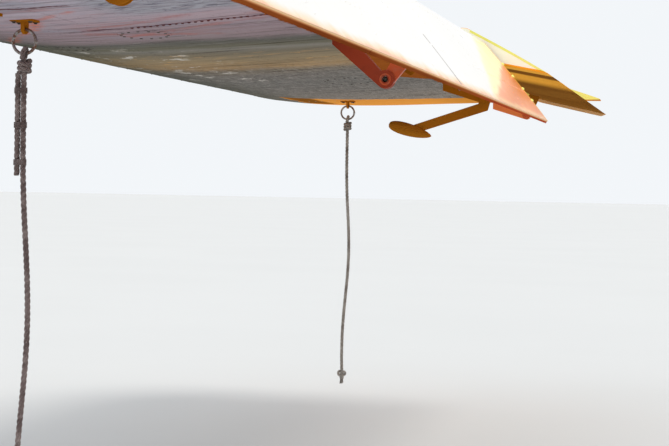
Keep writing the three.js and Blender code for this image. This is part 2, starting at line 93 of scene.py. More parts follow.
# Flap and aileron, drawn retracted and turned about their hinges
FLAP_HINGE = (1.231, -0.165)
FLAP_DOWN = 37
FLAP_INNER = 0.070
FLAP_OUTER = 4.040
FLAP_LIP = 1.245
FLAP_WALL = 1.168
FLAP_NOSE = (1.190, -0.004)
FLAP_FLUSH = 1.260
FLAP_STATIONS = (1.200, 3.270)
FLAP_STRIPS = (  # from and to a station, depth
    (FLAP_INNER, 1.40, 0.011),
    (1.403, 2.86, 0.011),
    (2.863, FLAP_OUTER, 0.010),
)
FLAP_SCREWS = (1.352, 1.403, 1.455, 1.503)
FLAP_RIVETS = (1.29, 1.47)
FLAP_RIB_PITCH = 0.49
FLAP_LAP = ((1.44, 1.581), (2.324, 2.334))
AILERON_HINGE = (1.275, -0.125)
AILERON_DROOP = 17
AILERON_TWIST = (-1.5, 0.5)
AILERON_INNER = 4.050
AILERON_OUTER = 6.530
AILERON_BAY_END = 6.538
AILERON_LIP = 1.245
AILERON_WALL = 1.150
AILERON_FLUSH = 1.285
AILERON_NOSE = (1.222, 0.0)
AILERON_STATIONS = (4.830, 6.150)
AILERON_BEADS = (4.54, 5.12, 5.70)
BEAD_ENDS = (1.315, 1.555)
BEAD_TAPER = 0.03
BEAD_HALF = 0.045
BEAD_HEIGHT = 0.0045
AILERON_RIVETS = (1.30, 1.56)
AILERON_BANDS = (  # edge, the place in x that it starts from, depth, material
    ("upper", AILERON_FLUSH, 0.008, 2),
    ("lower", AILERON_LIP, -0.0056, 1),
)
RIB_LIP = 0.014
RIM_ROUND = 0.0012
RIPPLE = 0.0008
TRAILING_EDGE = CHORD - 0.002
END_RIB = 0.010

# Balance weight: its length and radius, and degrees that its tail hangs down
WEIGHT_LENGTH = 0.176
WEIGHT_RADIUS = 0.025
WEIGHT_PITCH = 15.0

# Sheet metal: how it bulges, rows of rivets, fasteners as radius and height, laps, covers and doublers
RIB_PITCH = 0.33
BULGE = 0.0009
BULGE_PITCH = 0.14
WAVE = 0.0006
STRINGERS = (0.352, 0.600, 0.742, 0.888)
SPAR_ROWS = (0.214, 0.244, 0.462, 0.490, 1.022, 1.050)
RIVET_PITCH = 0.036
RIVET = (0.0034, 0.0013)
SCREW = (0.0046, 0.0018)
COVER_SCREW = (0.0065, 0.0034)
STAINED_RIVET = (0.0055, 0.0028)
FLAP_SCREW = (0.0068, 0.0042)
SHEET = 0.0009
SPAR_STRAP_HALF = 0.022
LAPS = (1.98, 3.96)
LAP_HALF = 0.018
COVERS = (  # middle in x and y, then half sizes in x and y
    (0.655, 2.83, 0.070, 0.10),
    (0.715, 1.36, 0.085, 0.12),
    (0.770, 4.71, 0.095, 0.15),
    (0.33, 3.1, 0.06, 0.06),
)
STAINED_ROW = (0.68, 2.671, 0.38, -0.041, 22)  # starts at x and y, runs in x and y, rivets
DOUBLERS = (2.15, 2.385, 5.60)
DOUBLER_HALF = 0.12
TIP_STRIP = (0.001, 0.030)  # from and to a distance outboard of the tip's inner end
TIP_SCREWS = (0.012, 0.030, 38)  # first one's place in x, pitch, how many
DRAIN_SLOT = (0.155, 0.085, 0.052, 0.008)  # x, distance outboard, half sizes in x and y
RIB_HOLES = ((0.13, 0.030), (0.29, 0.052), (0.63, 0.060), (0.80, 0.055), (0.93, 0.046))  # x, radius

# Bolts of the root lugs, brackets, strut lug and tie-downs: places in x, and how far apart they stand
ROOT_LUGS = ((FRONT_SPAR, 0.033), (REAR_SPAR, 0.023))  # spar, half the bolts' distance in z
ROOT_BOLTS_HALF = 0.032
BRACKET_FOOT_X = 1.074
BRACKET_BOLTS = (1.082, 1.136)
BRACKET_BOLTS_HALF = 0.024
BRACKET_HALF = 0.0118
STRUT_LUG_Y = 2.150
STRUT_BOLTS = (0.444, 0.508)
STRUT_BOLTS_APART = 0.075
TIEDOWN_BOLTS_HALF = (0.022, 0.015)
FOOT_THICKNESS = 0.005

# Tie-down ropes, as they hang
TIEDOWN_X = 0.510
TIEDOWNS = {"inboard": (2.385, 1.190), "outboard": (5.785, 1.090)}  # station and rope's length
ROPE_DIAMETER = 0.015
ROPE_LAY = 0.046
ROPE_STEP = 0.0036
TWINE = 0.0011
UV_LENGTH = 0.010
EYE_RADIUS = 0.0135
HITCH_RADIUS = 0.0125
HITCH_TURNS = 2.6
HITCH_HEIGHT = 0.031
KNOT_SIZE = 0.0062
FRAYED_ENDS = 26
FRAYED_RADIUS = 0.0058
GOLDEN_ANGLE = 2.399
RING_BAR = 0.0040
WHIPPINGS = (0.035, 0.120, 0.212)
WHIPPING_TURNS = 7
WHIPPING_PITCH = 0.0021
WHIPPING_RADIUS = 0.0086
ROPE_BENDS = (  # share of the length, then millimetres off the plumb line in x and y
    (0, 0, 0), (0.04, 0, 0), (0.12, 0, 0), (0.2, 1, 0), (0.28, 4, 2),
    (0.36, 9, 5), (0.44, 13, 8), (0.52, 14, 9), (0.6, 11, 7), (0.68, 5, 3),
    (0.76, -1, -2), (0.84, -5, -6), (0.92, -6, -8), (0.97, -5, -8), (1, -4, -8),
)

# Camera and floor
CAMERA_PLACE = (1.738, -1.254, -0.5075)
CAMERA_YAW = 14.01
CAMERA_PITCH = -1.18
CAMERA_ROLL = 1.05
LENS = 85.9
FLOOR_DROP = 0.055
FLOOR_SIZE = 400

# Paints
PAINTS = {  # material, deep, fresh and dirt colours; coat, streaks' scale, dirt's share, specular level
    "yellow": ("golden_yellow", (0.77, 0.345, 0.014), (0.84, 0.405, 0.020), (0.30, 0.14, 0.03),
               0.35, (2.2, 34, 9), 0.3, 0.5),
    # pale: yellow paint lightened to near white, standing for full sun on the aileron's end ribs: painted
    # light
    "pale": ("sunlit_pale_yellow", (0.93, 0.93, 0.80), (0.97, 0.97, 0.88), (0.86, 0.80, 0.55),
             0.2, (2, 9, 9), 0.15, 0.5),
    "amber": ("amber_underside", (0.88, 0.33, 0.015), (0.98, 0.42, 0.030), (0.50, 0.17, 0.03),
              0.0, (2, 30, 9), 0.5, 0.0),
    # brown: the yellow paint darkened to golden brown for the fittings in the wing's shade: painted shade
    "brown": ("shaded_golden_yellow", (0.31, 0.105, 0.006), (0.42, 0.150, 0.012), (0.14, 0.048, 0.008),
              0.0, (5, 12, 9), 0.5, 0.0),
    # aft: yellow paint darkened to orange brown for the skin in shade aft of the rear spar: painted shade
    "aft": ("shaded_orange_brown", (0.26, 0.085, 0.020), (0.38, 0.135, 0.024), (0.12, 0.05, 0.03),
            0.0, (2, 30, 9), 0.8, 0.0),
    # aileron_under: yellow paint darkened for the shade under the aileron: painted shade; its bright bands
    # are painted highlights
    "aileron_under": ("shaded_aileron_underside", (0.22, 0.085, 0.014), (0.28, 0.115, 0.020), (0.14, 0.05, 0.010),
                      0.0, (2, 24, 9), 0.5, 0.0),
    "tan": ("faded_tan", (0.84, 0.50, 0.21), (0.98, 0.65, 0.32), (0.55, 0.30, 0.10),
            0.0, (3, 20, 9), 0.5, 0.0),
    # lemon: painted light on the tip's inboard face and the top edge of the aileron's end rib, and painted
    # glints on the flap's screws
    "lit_lemon": ("lit_lemon_edge", (0.80, 0.78, 0.15), (0.88, 0.92, 0.28), (0.70, 0.50, 0.08),
              0.0, (6, 9, 9), 0.3, 0.5),
    # red_edge_and_highlight: red orange paint darkened partly as painted shade under the flap's trailing edge
    "red_edge_and_highlight": ("red_orange_edge_shade_and_highlight", (0.19, 0.042, 0.010), (0.31, 0.080, 0.018), (0.10, 0.03, 0.014),
                 0.0, (9, 5, 9), 0.7, 0.0),
    "cream_primer": ("cream_primer", (0.88, 0.80, 0.66), (0.96, 0.91, 0.80), (0.5, 0.36, 0.22),
                     0.0, (3, 12, 9), 0.25, 0.2),
}
# One red orange paint in three copies, each darker or lighter for the light on its part: painted shade and
# painted light
BRACKET_REDS = {  # material, deep and fresh colours
    "orange": ("orange_red", (0.22, 0.026, 0.008), (0.37, 0.050, 0.016)),
    "half_lit_orange": ("worn_orange_red", (0.42, 0.062, 0.018), (0.66, 0.115, 0.036)),
    "bright": ("bright_orange_red", (0.96, 0.215, 0.050), (1.0, 0.30, 0.09)),
}
BRACKET_FINISH = ((0.16, 0.028, 0.012), 0.1, (9, 9, 9), 0.6, 0.15)
MOTTLED = {  # material, roughness, metallic, specular level, scale, two colours, grain's scale, detail, depth
    "grey": ("lap_sealant", 0.6, 0.0, 0.1, 30, (0.34, 0.33, 0.33), (0.52, 0.50, 0.48), 200, 3, 0.0003),
    "stain": ("rust_stained", 0.6, 0.0, 0.0, 18, (0.07, 0.035, 0.04), (0.20, 0.075, 0.07), 200, 3, 0.0003),
    "dark": ("shadowed_structure", 0.6, 0.3, 0.5, 8, (0.035, 0.032, 0.028), (0.10, 0.085, 0.06),
             60, 4, 0.001),
}
# The bands are painted reflections of water and shore on the glossy underside, darkened as painted shade
UNDERSIDE_REFLECTION_BANDS = (  # share of the span, colour
    (0.00, (0.24, 0.21, 0.22)), (0.25, (0.40, 0.37, 0.44)), (0.32, (0.58, 0.52, 0.60)),
    (0.375, (0.52, 0.41, 0.46)), (0.420, (0.40, 0.31, 0.34)), (0.448, (0.34, 0.27, 0.285)),
    (0.461, (0.17, 0.168, 0.152)), (0.484, (0.21, 0.20, 0.15)), (0.496, (0.30, 0.285, 0.25)),
    (0.510, (0.24, 0.215, 0.165)), (0.545, (0.38, 0.30, 0.19)), (0.590, (0.48, 0.33, 0.18)),
    (0.613, (0.28, 0.24, 0.19)), (0.640, (0.245, 0.225, 0.205)), (0.700, (0.235, 0.225, 0.21)),
    (0.780, (0.26, 0.24, 0.22)), (0.860, (0.34, 0.30, 0.26)),
)
RED_RUN = (0.66, 0.20, 0.13)
MAROON = (0.13, 0.045, 0.05)
WINE = (0.12, 0.055, 0.075)
# Rose streaks are painted highlights on the rivet rows
ROSE_HIGHLIGHT = (0.46, 0.20, 0.19)
SMEARS = (  # from and to a point in x and y, half width, strength, colour
    ((-0.27, 2.95), (-0.18, 2.79), 0.016, 0.8, RED_RUN),
    ((-0.18, 2.79), (-0.05, 2.60), 0.010, 0.5, RED_RUN),
    ((-0.05, 2.60), (0.05, 2.40), 0.022, 0.75, RED_RUN),
    ((0.05, 2.40), (0.20, 2.29), 0.012, 0.6, RED_RUN),
    ((0.02, 2.175), (0.35, 2.195), 0.012, 0.95, MAROON),
    ((0.35, 2.195), (0.50, 2.165), 0.008, 0.8, MAROON),
    ((0.02, 2.690), (0.59, 2.628), 0.014, 0.85, WINE),
    ((0.04, 2.75), (0.36, 2.93), 0.022, 0.7, ROSE_HIGHLIGHT),
    ((0.06, 2.67), (0.42, 2.50), 0.020, 0.6, ROSE_HIGHLIGHT),
    ((0.12, 2.85), (0.58, 2.66), 0.018, 0.6, ROSE_HIGHLIGHT),
)

# Nodes that keep their own shape, by the paint they get
CAD_LOOKS = {
    # brown: yellow paint darkened as painted shade
    "brown": (
        "balance_arm", "cable_fairlead", "strut_lug", "tiedown_eye_inboard", "tiedown_eye_outboard",
        "flap_bracket_inboard", "flap_arm_inboard", "aileron_bracket_inboard", "aileron_arm_inboard",
        "aileron_arm_outboard",
    ),
    # The brackets' reds are shaded and lit copies of one paint: painted shade and light
    "bright": ("aileron_bracket_outboard",),
    "orange": ("flap_bracket_outboard",),
    "half_lit_orange": ("flap_arm_outboard",),
    "steel": ("front_spar_lug", "rear_spar_lug"),
    "lens": ("navigation_light",),
}

# The number of the material that each stretch of a wing panel's outline takes
KINDS = {"upper": 0, "lower": 1, "inner": 2, "cove": 3}

random.seed(7)


# Section of the wing
def half_thickness(s):
    polynomial = 0.2969 * math.sqrt(s) - 0.126 * s - 0.3516 * s**2 + 0.2843 * s**3 - 0.1036 * s**4
    return 5 * THICKNESS * polynomial


def camber_line(s):
    if s < CAMBER_AT:
        return CAMBER / CAMBER_AT**2 * (2 * CAMBER_AT * s - s * s)
    return CAMBER / (1 - CAMBER_AT) ** 2 * (1 - 2 * CAMBER_AT + 2 * CAMBER_AT * s - s * s)


def skin(x, side):
    s = min(max(x / CHORD, 0), 1)
    return CHORD * (camber_line(s) + side * half_thickness(s))


def middle_line(x):
    """Height half way between the two skins."""
    return (skin(x, 1) + skin(x, -1)) / 2


def skin_line(x0, x1, side, count, kind):
    """Points (x, z, kind) along one surface, closer together towards the nose."""
    a, b = (math.acos(1 - 2 * x / CHORD) for x in (x0, x1))
    steps = (a + (b - a) * i / count for i in range(count + 1))
    places = [CHORD / 2 * (1 - math.cos(angle)) for angle in steps]
    return [(x, skin(x, side), kind) for x in places]


def bezier(points, count, kind):
    """Points along a quadratic or cubic curve through its first and last control point."""
    line = []
    for i in range(count + 1):
        t = i / count
        level = [Vector(p) for p in points]
        while len(level) > 1:
            level = [a.lerp(b, t) for a, b in zip(level, level[1:])]
        line.append((level[0].x, level[0].y, kind))
    return line


def place(x, y, z):
    return Vector((x - FRONT_SPAR, y, z - LUG_Z))


def turned(x, z, hinge, degrees):
    """A point of the section after its surface has turned trailing edge down about its hinge."""
    a = math.radians(degrees)
    dx, dz = x - hinge[0], z - hinge[1]
    return hinge[0] + dx * math.cos(a) + dz * math.sin(a), hinge[1] - dx * math.sin(a) + dz * math.cos(a)


def pillow(x, y):
    """How far the sheet stands proud between its ribs and stringers."""
    between = math.sin(math.pi * y / RIB_PITCH) ** 2 * math.sin(math.pi * x / BULGE_PITCH) ** 2
    return BULGE * between + WAVE * noise.noise(Vector((x * 4, y * 1.7, 3.1)))


def on_wing(x, y, side, proud=0.0):
    return place(x, y, skin(x, side) + side * (pillow(x, y) + proud))


def rows(y0, y1, step):
    """Stations from y0 to y1, about a step apart."""
    count = max(1, round((y1 - y0) / step))
    return [y0 + (y1 - y0) * i / count for i in range(count + 1)]


def spaced(start, end, pitch):
    return [start + pitch * i for i in range(int((end - start) / pitch) + 1)]


def about(middle, half):
    """The places half a width below and above a middle."""
    return middle - half, middle + half


def circle(count):
    """Cosine and sine of evenly spread angles."""
    return [(math.cos(a), math.sin(a)) for a in (2 * math.pi * i / count for i in range(count))]


class Hinged:
    """The flap or the aileron: how it hangs about its hinge, and its outline before it is turned."""

    def __init__(self, body, slot, hinge, down, twist, span, outline):
        self.body = body
        self.slot = slot
        self.hinge = hinge
        self.down = down
        self.twist = twist
        self.inner, self.outer = span
        self.outline = outline

    def degrees(self, y):
        """Degrees that it hangs down at a station."""
        start, end = self.twist
        return self.down + start + (end - start) * (y - self.inner) / (self.outer - self.inner)

    def point(self, x, y, z):
        u, w = turned(x, z, self.hinge, self.degrees(y))
        return place(u, y, w)

    def on(self, x, y, side, proud=0.0):
        return self.point(x, y, skin(x, side) + side * proud)


# Meshes
def linked(name, data):
    """A new object in the scene."""
    made = bpy.data.objects.new(name, data)
    bpy.context.scene.collection.objects.link(made)
    return made


def frames_along(path, closed):
    """Each point of a path with two directions across it that turn as little as they can."""
    count = len(path)
    across = None
    frames = []
    for i, middle in enumerate(path):
        if closed:
            ahead = path[(i + 1) % count] - path[i - 1]
        else:
            ahead = path[min(i + 1, count - 1)] - path[max(i - 1, 0)]
        ahead.normalize()
        if across is None:
            across = ahead.orthogonal()
        across = (across - ahead * across.dot(ahead)).normalized()
        frames.append((middle, across.copy(), ahead.cross(across)))
    return frames


def directions(axis):
    """An axis and two directions across it, all one long."""
    axis = Vector(axis).normalized()
    across = axis.orthogonal().normalized()
    return axis, across, axis.cross(across)


class Build:
    """One mesh in the making: its corners, its faces, and each face's material number."""

    def __init__(self):
        self.corners = []
        self.faces = []
        self.kinds = []
        self.uvs = {}

    def add(self, corners, faces, kinds):
        start = len(self.corners)
        self.corners += [Vector(c) for c in corners]
        self.faces += [tuple(start + i for i in face) for face in faces]
        self.kinds += kinds if isinstance(kinds, list) else [kinds] * len(faces)
        return start

    def rings(self, rings, kinds=0, caps=(0, 0), closed=False):
        """A body through rings of equally many corners; kinds is one number or one for each segment."""
        count = len(rings[0])
        last = (len(rings) - 1) * count
        faces = []
        around = kinds if isinstance(kinds, list) else [kinds] * count
        for r in range(len(rings) if closed else len(rings) - 1):
            a = r * count
            b = (r + 1) % len(rings) * count
            faces += [(a + i, a + (i + 1) % count, b + (i + 1) % count, b + i) for i in range(count)]
        numbers = around * (len(faces) // count)
        if not closed:
            faces += [tuple(reversed(range(count))), tuple(range(last, last + count))]
            numbers += caps
        return self.add([c for ring in rings for c in ring], faces, numbers)

    def lathe(self, centre, axis, profile, sides, kind=0):
        """A body round an axis; profile is (distance along it, radius) from one end to the other."""
        axis, across, up = directions(axis)
        rings = []
        for along, radius in profile:
            middle = Vector(centre) + axis * along
            rings.append([middle + (across * c + up * s) * max(radius, 2e-5) for c, s in circle(sides)])
        self.rings(rings, kind, (kind, kind))

    def hoop(self, centre, axis, section, sides, kind=0):
        """A ring of any section round an axis; section is (distance along the axis, radius)."""
        axis, across, up = directions(axis)
        rings = []
        for c, s in circle(sides):
            out = across * c + up * s
            rings.append([Vector(centre) + axis * along + out * radius for along, radius in section])
        self.rings(rings, kind, closed=True)

    def tube(self, path, radius, sides, closed=False):
        """A round bar along a path, with u along it and v round it."""
        rings = []
        for middle, across, up in frames_along(path, closed):
            rings.append([middle + (across * c + up * s) * radius for c, s in circle(sides)])
        start = self.rings(rings, closed=closed)
        run = 0.0
        for r, point in enumerate(path):
            run += (point - path[r - 1]).length if r else 0.0
            for i in range(sides):
                self.uvs[start + r * sides + i] = (run / UV_LENGTH, i / sides)

    def plate(self, outline, holes, y0, y1, kind=0):
        """A flat sheet between two stations, with real holes; its loops are points (x, z) of the section."""
        loops = [[Vector((x, z, 0)) for x, z in loop] for loop in [outline, *holes]]
        flat = [p for loop in loops for p in loop]
        count = len(flat)
        triangles = tessellate_polygon(loops)
        faces = [tuple(t) for t in triangles] + [tuple(i + count for i in reversed(t)) for t in triangles]
        start = 0
        for loop in loops:
            for i in range(len(loop)):
                a, b = start + i, start + (i + 1) % len(loop)
                faces.append((a, b, b + count, a + count))
            start += len(loop)
        self.add([place(p.x, y, p.y) for y in (y0, y1) for p in flat], faces, kind)

    def patch(self, surface, xs, ys, side, height, kind=0, sunk=0.0006):
        """A thin sheet that lies on a surface between two lines along the chord and two along the span."""
        nx, ny = len(xs), len(ys)
        base = nx * ny
        corners = [surface(x, y, side, lift) for lift in (height, -sunk) for y in ys for x in xs]
        faces = []
        for a in (j * nx + i for j in range(ny - 1) for i in range(nx - 1)):
            faces.append((a, a + 1, a + nx + 1, a + nx))
            faces.append((base + a + nx, base + a + nx + 1, base + a + 1, base + a))
        rim = [*range(nx)] + [j * nx + nx - 1 for j in range(1, ny)]
        rim += [(ny - 1) * nx + i for i in range(nx - 2, -1, -1)] + [j * nx for j in range(ny - 2, 0, -1)]
        faces += [(b, a, a + base, b + base) for a, b in zip(rim, rim[1:] + rim[:1])]
        self.add(corners, faces, kind)

    def cover(self, surface, x, y, side, rx, ry, kind=0, height=0.0016, rim=0.003):
        """A round or oval cover plate that follows a surface."""
        rings = []
        for shrink, lift in ((0, -0.0006), (0, height - 0.0008), (rim * 0.4, height), (rim, height)):
            a, b = rx - shrink, ry - shrink
            rings.append([surface(x + a * c, y + b * s, side, lift) for c, s in circle(32)])
        self.rings(rings, kind, (kind, kind))

    def head(self, spot, normal, radius, height, kind, sides):
        """A screw's or pin's low round head."""
        profile = [(-0.0005, radius), (height * 0.55, radius * 0.86), (height, radius * 0.5)]
        self.lathe(spot, normal, profile, sides, kind)

    def rivet(self, surface, x, y, side, size, kind, sides=7):
        middle = surface(x, y, side)
        normal = (surface(x, y, side, 0.01) - middle).normalized()
        radius, height = size
        self.lathe(middle, normal, [(-0.0004, radius), (height, radius * 0.55)], sides, kind)

    def bolt(self, spot, normal, across, height):
        """A hexagon head on a washer."""
        wide = across * 1.5
        self.lathe(spot, normal, [(-0.0005, wide), (0.0011, wide), (0.0015, across * 1.4)], 18)
        self.lathe(spot, normal, [(0.0012, across), (height, across), (height + 0.0007, across * 0.8)], 6)

    def finish(self, name, materials, body, slot, replaces=(), sharp=32):
        """The piece itself, with its normals outward and smooth up to the sharp angle in degrees."""
        mesh = bpy.data.meshes.new(name)
        mesh.from_pydata(self.corners, [], self.faces)
        for material in materials:
            mesh.materials.append(material)
        mesh.polygons.foreach_set("material_index", self.kinds)
        if self.uvs:
            layer = mesh.uv_layers.new(name="UVMap")
            for loop in mesh.loops:
                layer.data[loop.index].uv = self.uvs.get(loop.vertex_index, (0, 0))
        piece = linked(name, mesh)
        work = bmesh.new()
        work.from_mesh(mesh)
        bmesh.ops.recalc_face_normals(work, faces=work.faces)
        work.to_mesh(mesh)
        work.free()
        mesh.shade_smooth()
        mesh.set_sharp_from_angle(angle=math.radians(sharp))
        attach(piece, body)
        if replaces:
            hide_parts(*replaces)
        return piece


# Materials
class Signal:
    """A number or colour that a material's nodes work out; sums and products of numbers add Math nodes."""

    def __init__(self, look, socket):
        self.look = look
        self.socket = socket

    def __add__(self, other):
        return self.look.math("ADD", self, other)

    def __sub__(self, other):
        return self.look.math("SUBTRACT", self, other)

    def __mul__(self, other):
        return self.look.math("MULTIPLY", self, other)

    def step(self, low, high):
        """0 on low's side, 1 on high's side and smooth between; low may be the greater."""
        ends = {"From Min": min(low, high), "From Max": max(low, high)}
        ends |= {"To Min": 0.0, "To Max": 1.0} if low < high else {"To Min": 1.0, "To Max": 0.0}
        return self.look.node("MapRange", "Result", {"Value": self, **ends}, interpolation_type="SMOOTHSTEP")

    def window(self, low, high, soft):
        """1 between two values, fading at both ends."""
        return self.step(low, low + soft) * self.step(high, high - soft)


class Look:
    """A material and short ways to add the nodes that these finishes use."""

    def __init__(self, name, roughness, metallic=0.0, coat=0.0, specular=0.5):
        self.material = bpy.data.materials.new(name)
        self.material.use_nodes = True
        self.tree = self.material.node_tree
        self.shader = self.tree.nodes["Principled BSDF"]
        for socket, value in (
            ("Roughness", roughness), ("Metallic", metallic), ("Coat Weight", coat), ("Coat Roughness", 0.12),
            ("Specular IOR Level", specular),
        ):
            self.set(socket, value)
        self.where = self.node("TexCoord", "Object")
        self.x, self.y, self.z = self.split(self.where)
        self.layers = None
        self.normal = None

    def node(self, kind, output, inputs=None, **settings):
        """A new node's output; its inputs are fed by name or number."""
        made = self.tree.nodes.new("ShaderNode" + kind)
        for key, value in settings.items():
            setattr(made, key, value)
        for socket, value in (inputs or {}).items():
            self.feed(made.inputs[socket], value)
        return Signal(self, made.outputs[output])

    def feed(self, socket, value):
        if isinstance(value, Signal):
            self.tree.links.new(value.socket, socket)
        else:
            socket.default_value = value

    def set(self, socket, value):
        self.feed(self.shader.inputs[socket], value)

    def split(self, point):
        first = self.node("SeparateXYZ", "X", {"Vector": point})
        return [Signal(self, axis) for axis in first.socket.node.outputs]

    def stretched(self, scale):
        scale = scale if isinstance(scale, tuple) else (scale, scale, scale)
        return self.node("Mapping", "Vector", {"Vector": self.where, "Scale": scale})

    def noise(self, scale, detail, rough=0.55, warp=0.0):
        """Noise with one scale, or its own along x, y and z."""
        inputs = {"Scale": 1.0, "Detail": detail, "Roughness": rough, "Distortion": warp}
        return self.node("TexNoise", "Fac", {"Vector": self.stretched(scale), **inputs})

    def wander(self, scale, size, detail=4.0, rough=0.55):
        """A small distance to either side, for edges that waver."""
        return (self.noise(scale, detail, rough) - 0.5) * size

    def cells(self, scale):
        return self.node("TexVoronoi", "Distance", {"Vector": self.stretched(scale), "Scale": 1.0})

    def math(self, operation, a, b=0.0):
        return self.node("Math", "Value", {0: a, 1: b}, operation=operation)

    def unturned(self, hinge, degrees):
        """Distance aft of the leading edge and below the chord line, with the surface turned back up."""
        a = math.radians(degrees)
        x = self.x + (FRONT_SPAR - hinge[0])
        z = self.z + (LUG_Z - hinge[1])
        aft = x * math.cos(a) - z * math.sin(a) + hinge[0]
        below = z * -math.cos(a) - x * math.sin(a) - hinge[1]
        return aft, below

    def ramp(self, value, stops):
        result = self.node("ValToRGB", "Color", {"Fac": value})
        elements = result.socket.node.color_ramp.elements
        while len(elements) < len(stops):
            elements.new(0.5)
        for element, (at, colour) in zip(elements, stops):
            element.position = at
            element.color = (*colour, 1)
        return result

    def mix(self, share, a, b):
        a, b = ((*colour, 1) if isinstance(colour, tuple) else colour for colour in (a, b))
        return self.node("Mix", "Result", {"Factor": share, "A": a, "B": b}, data_type="RGBA")

    def base(self, colour):
        self.layers = colour
        self.set("Base Color", colour)

    def over(self, share, colour):
        """A share of one more colour laid over the colours so far."""
        self.base(self.mix(share, self.layers, colour))

    def roughness(self, value, low, high):
        inputs = {"Value": value, "To Min": low, "To Max": high}
        self.set("Roughness", self.node("MapRange", "Result", inputs))

    def bump(self, height, strength, distance):
        inputs = {"Height": height, "Strength": strength, "Distance": distance}
        if self.normal:
            inputs["Normal"] = self.normal
        self.normal = self.node("Bump", "Normal", inputs)
        self.set("Normal", self.normal)


def paint(name, deep, fresh, dirt, coat, streak, dirt_share, specular):
    """Old gloss paint: slow changes of colour, streaks of dirt along the chord, specks and orange peel."""
    look = Look(name, 0.38, 0.0, coat, specular)
    look.base(look.mix(look.noise(1.6, 3).step(0.35, 0.65), deep, fresh))
    streaks = look.noise(streak, 6, 0.65).step(0.52, 0.78)
    look.over(streaks * dirt_share, dirt)
    chance = look.noise(6, 2).step(0.56, 0.66) * 0.55
    look.over(look.cells(70).step(0.16, 0.06) * chance, dirt)
    look.roughness(look.noise(11, 5), 0.22, 0.5)
    look.bump(look.noise(260, 2), 0.12, 0.0004)
    look.bump(streaks, 0.1, 0.0003)
    return look


def mottled(name, roughness, metallic, specular, scale, dark, light, grain, detail, depth):
    """One colour clouded by another, with a fine grain."""
    look = Look(name, roughness, metallic, 0.0, specular)
    look.base(look.mix(look.noise(scale, 4), dark, light))
    look.bump(look.noise(grain, detail), 0.2, depth)
    return look.material


def painted_highlight_bands(look):
    """The aileron's underside: painted highlights, a bright strip at its inboard end and a band over its
    first stiffener.
    """
    aft, _ = look.unturned(AILERON_HINGE, AILERON_DROOP)
    look.over(look.y.step(4.23, 4.19) * aft.step(1.37, 1.40), (1.0, 0.50, 0.07))
    band = look.y.step(4.36, 4.46) * look.y.step(5.10, 4.66)
    look.over(band * (aft.step(1.60, 1.36) * 0.15 + 0.85), (1.0, 0.46, 0.058))


def worn_edges(look):
    """Bracket paint worn to primer at its high spots."""
    edges = look.node("NewGeometry", "Pointiness").step(0.56, 0.66)
    look.over(edges * look.noise(60, 5).step(0.52, 0.64) * 0.55, (0.36, 0.24, 0.17))


def red_edge_and_highlight(look):
    """The strip along the flap's trailing edge: red orange darkened partly as painted shade, redder outboard,
    and a painted peach highlight where it turns over.
    """
    look.over(look.y.step(2.3, 3.1) * 0.8, (0.50, 0.070, 0.024))
    _, below = look.unturned(FLAP_HINGE, FLAP_DOWN)
    look.over(below.step(0.0062, 0.0028), (0.66, 0.27, 0.11))
    look.over(below.step(0.0040, 0.0016), (0.92, 0.62, 0.34))


def underside_paint():
    """Lower skin: dark stained metal, with bands along the span that are painted reflections of water and
    shore under painted shade, and fine streaks along the chord.
    """
    look = Look("stained_underside_with_painted_reflections", 0.36, 0.0, 0.0, 0.0)
    slant = (look.x + (FRONT_SPAR - 0.45)) * 0.17
    along = look.y + look.wander((1.3, 1.0, 1.0), 0.35) - slant
    look.base(look.ramp(look.math("DIVIDE", along, SPAN), UNDERSIDE_REFLECTION_BANDS))
    streaks = look.noise((3.2, 46, 5), 7, 0.7, 0.15)
    inboard = look.y.step(3.05, 2.6)
    look.over(streaks.step(0.48, 0.68) * 0.62, (0.05, 0.042, 0.036))
    look.over(look.noise((2.2, 60, 5), 6, 0.7).step(0.58, 0.74) * 0.55, (0.52, 0.48, 0.44))
    # Pink and wavy blue grey inboard: painted reflections of rippled water
    look.over(look.noise((2.0, 11, 3), 5, 0.7).step(0.50, 0.72) * inboard * 0.75, (0.44, 0.20, 0.18))
    look.over(look.noise((3.0, 7.0, 3), 4, 0.6, 1.2).step(0.48, 0.66) * inboard * 0.6, (0.36, 0.37, 0.44))
    smears(look)
    look.over(look.noise((16, 75, 5), 4, 0.7).step(0.66, 0.74) * 0.85, (0.60, 0.57, 0.52))
    look.over(look.noise((90, 160, 9), 3, 0.7).step(0.60, 0.72) * 0.5, (0.035, 0.03, 0.028))
    speckle(look)
    ripple_reflection_patch(look)
    gold_scratches(look)
    # Darker towards the leading edge: painted shade
    look.over(look.x.step(-0.02, -0.38) * 0.72, (0.085, 0.092, 0.068))
    shaded_aft_reach(look)
    amber_tip(look)
    look.roughness(streaks, 0.24, 0.46)
    look.bump(look.noise((2.6, 40, 5), 5, 0.6), 0.16, 0.0012)
    look.bump(look.noise((3.0, 5.0, 3), 3, 0.5, 1.4), 0.22, 0.004)
    return look.material


def smears(look):
    """Red paint that has run round the inboard tie-down, rust and grease, and rose streaks that are painted
    highlights; each lies between two points.
    """
    wobble = look.wander(11, 0.07, 4, 0.7)
    patchy = look.noise((16, 40, 5), 4, 0.7).step(0.38, 0.56)
    for (x0, y0), (x1, y1), width, strength, colour in SMEARS:
        slope = (y1 - y0) / (x1 - x0)
        across = (look.y - look.x * slope - (y0 - slope * x0) + wobble) * math.cos(math.atan(slope))
        share = look.math("ABSOLUTE", across).step(width * 1.8, width * 0.4)
        look.over(share * look.x.window(x0 - 0.02, x1 + 0.02, 0.04) * (patchy * strength), colour)


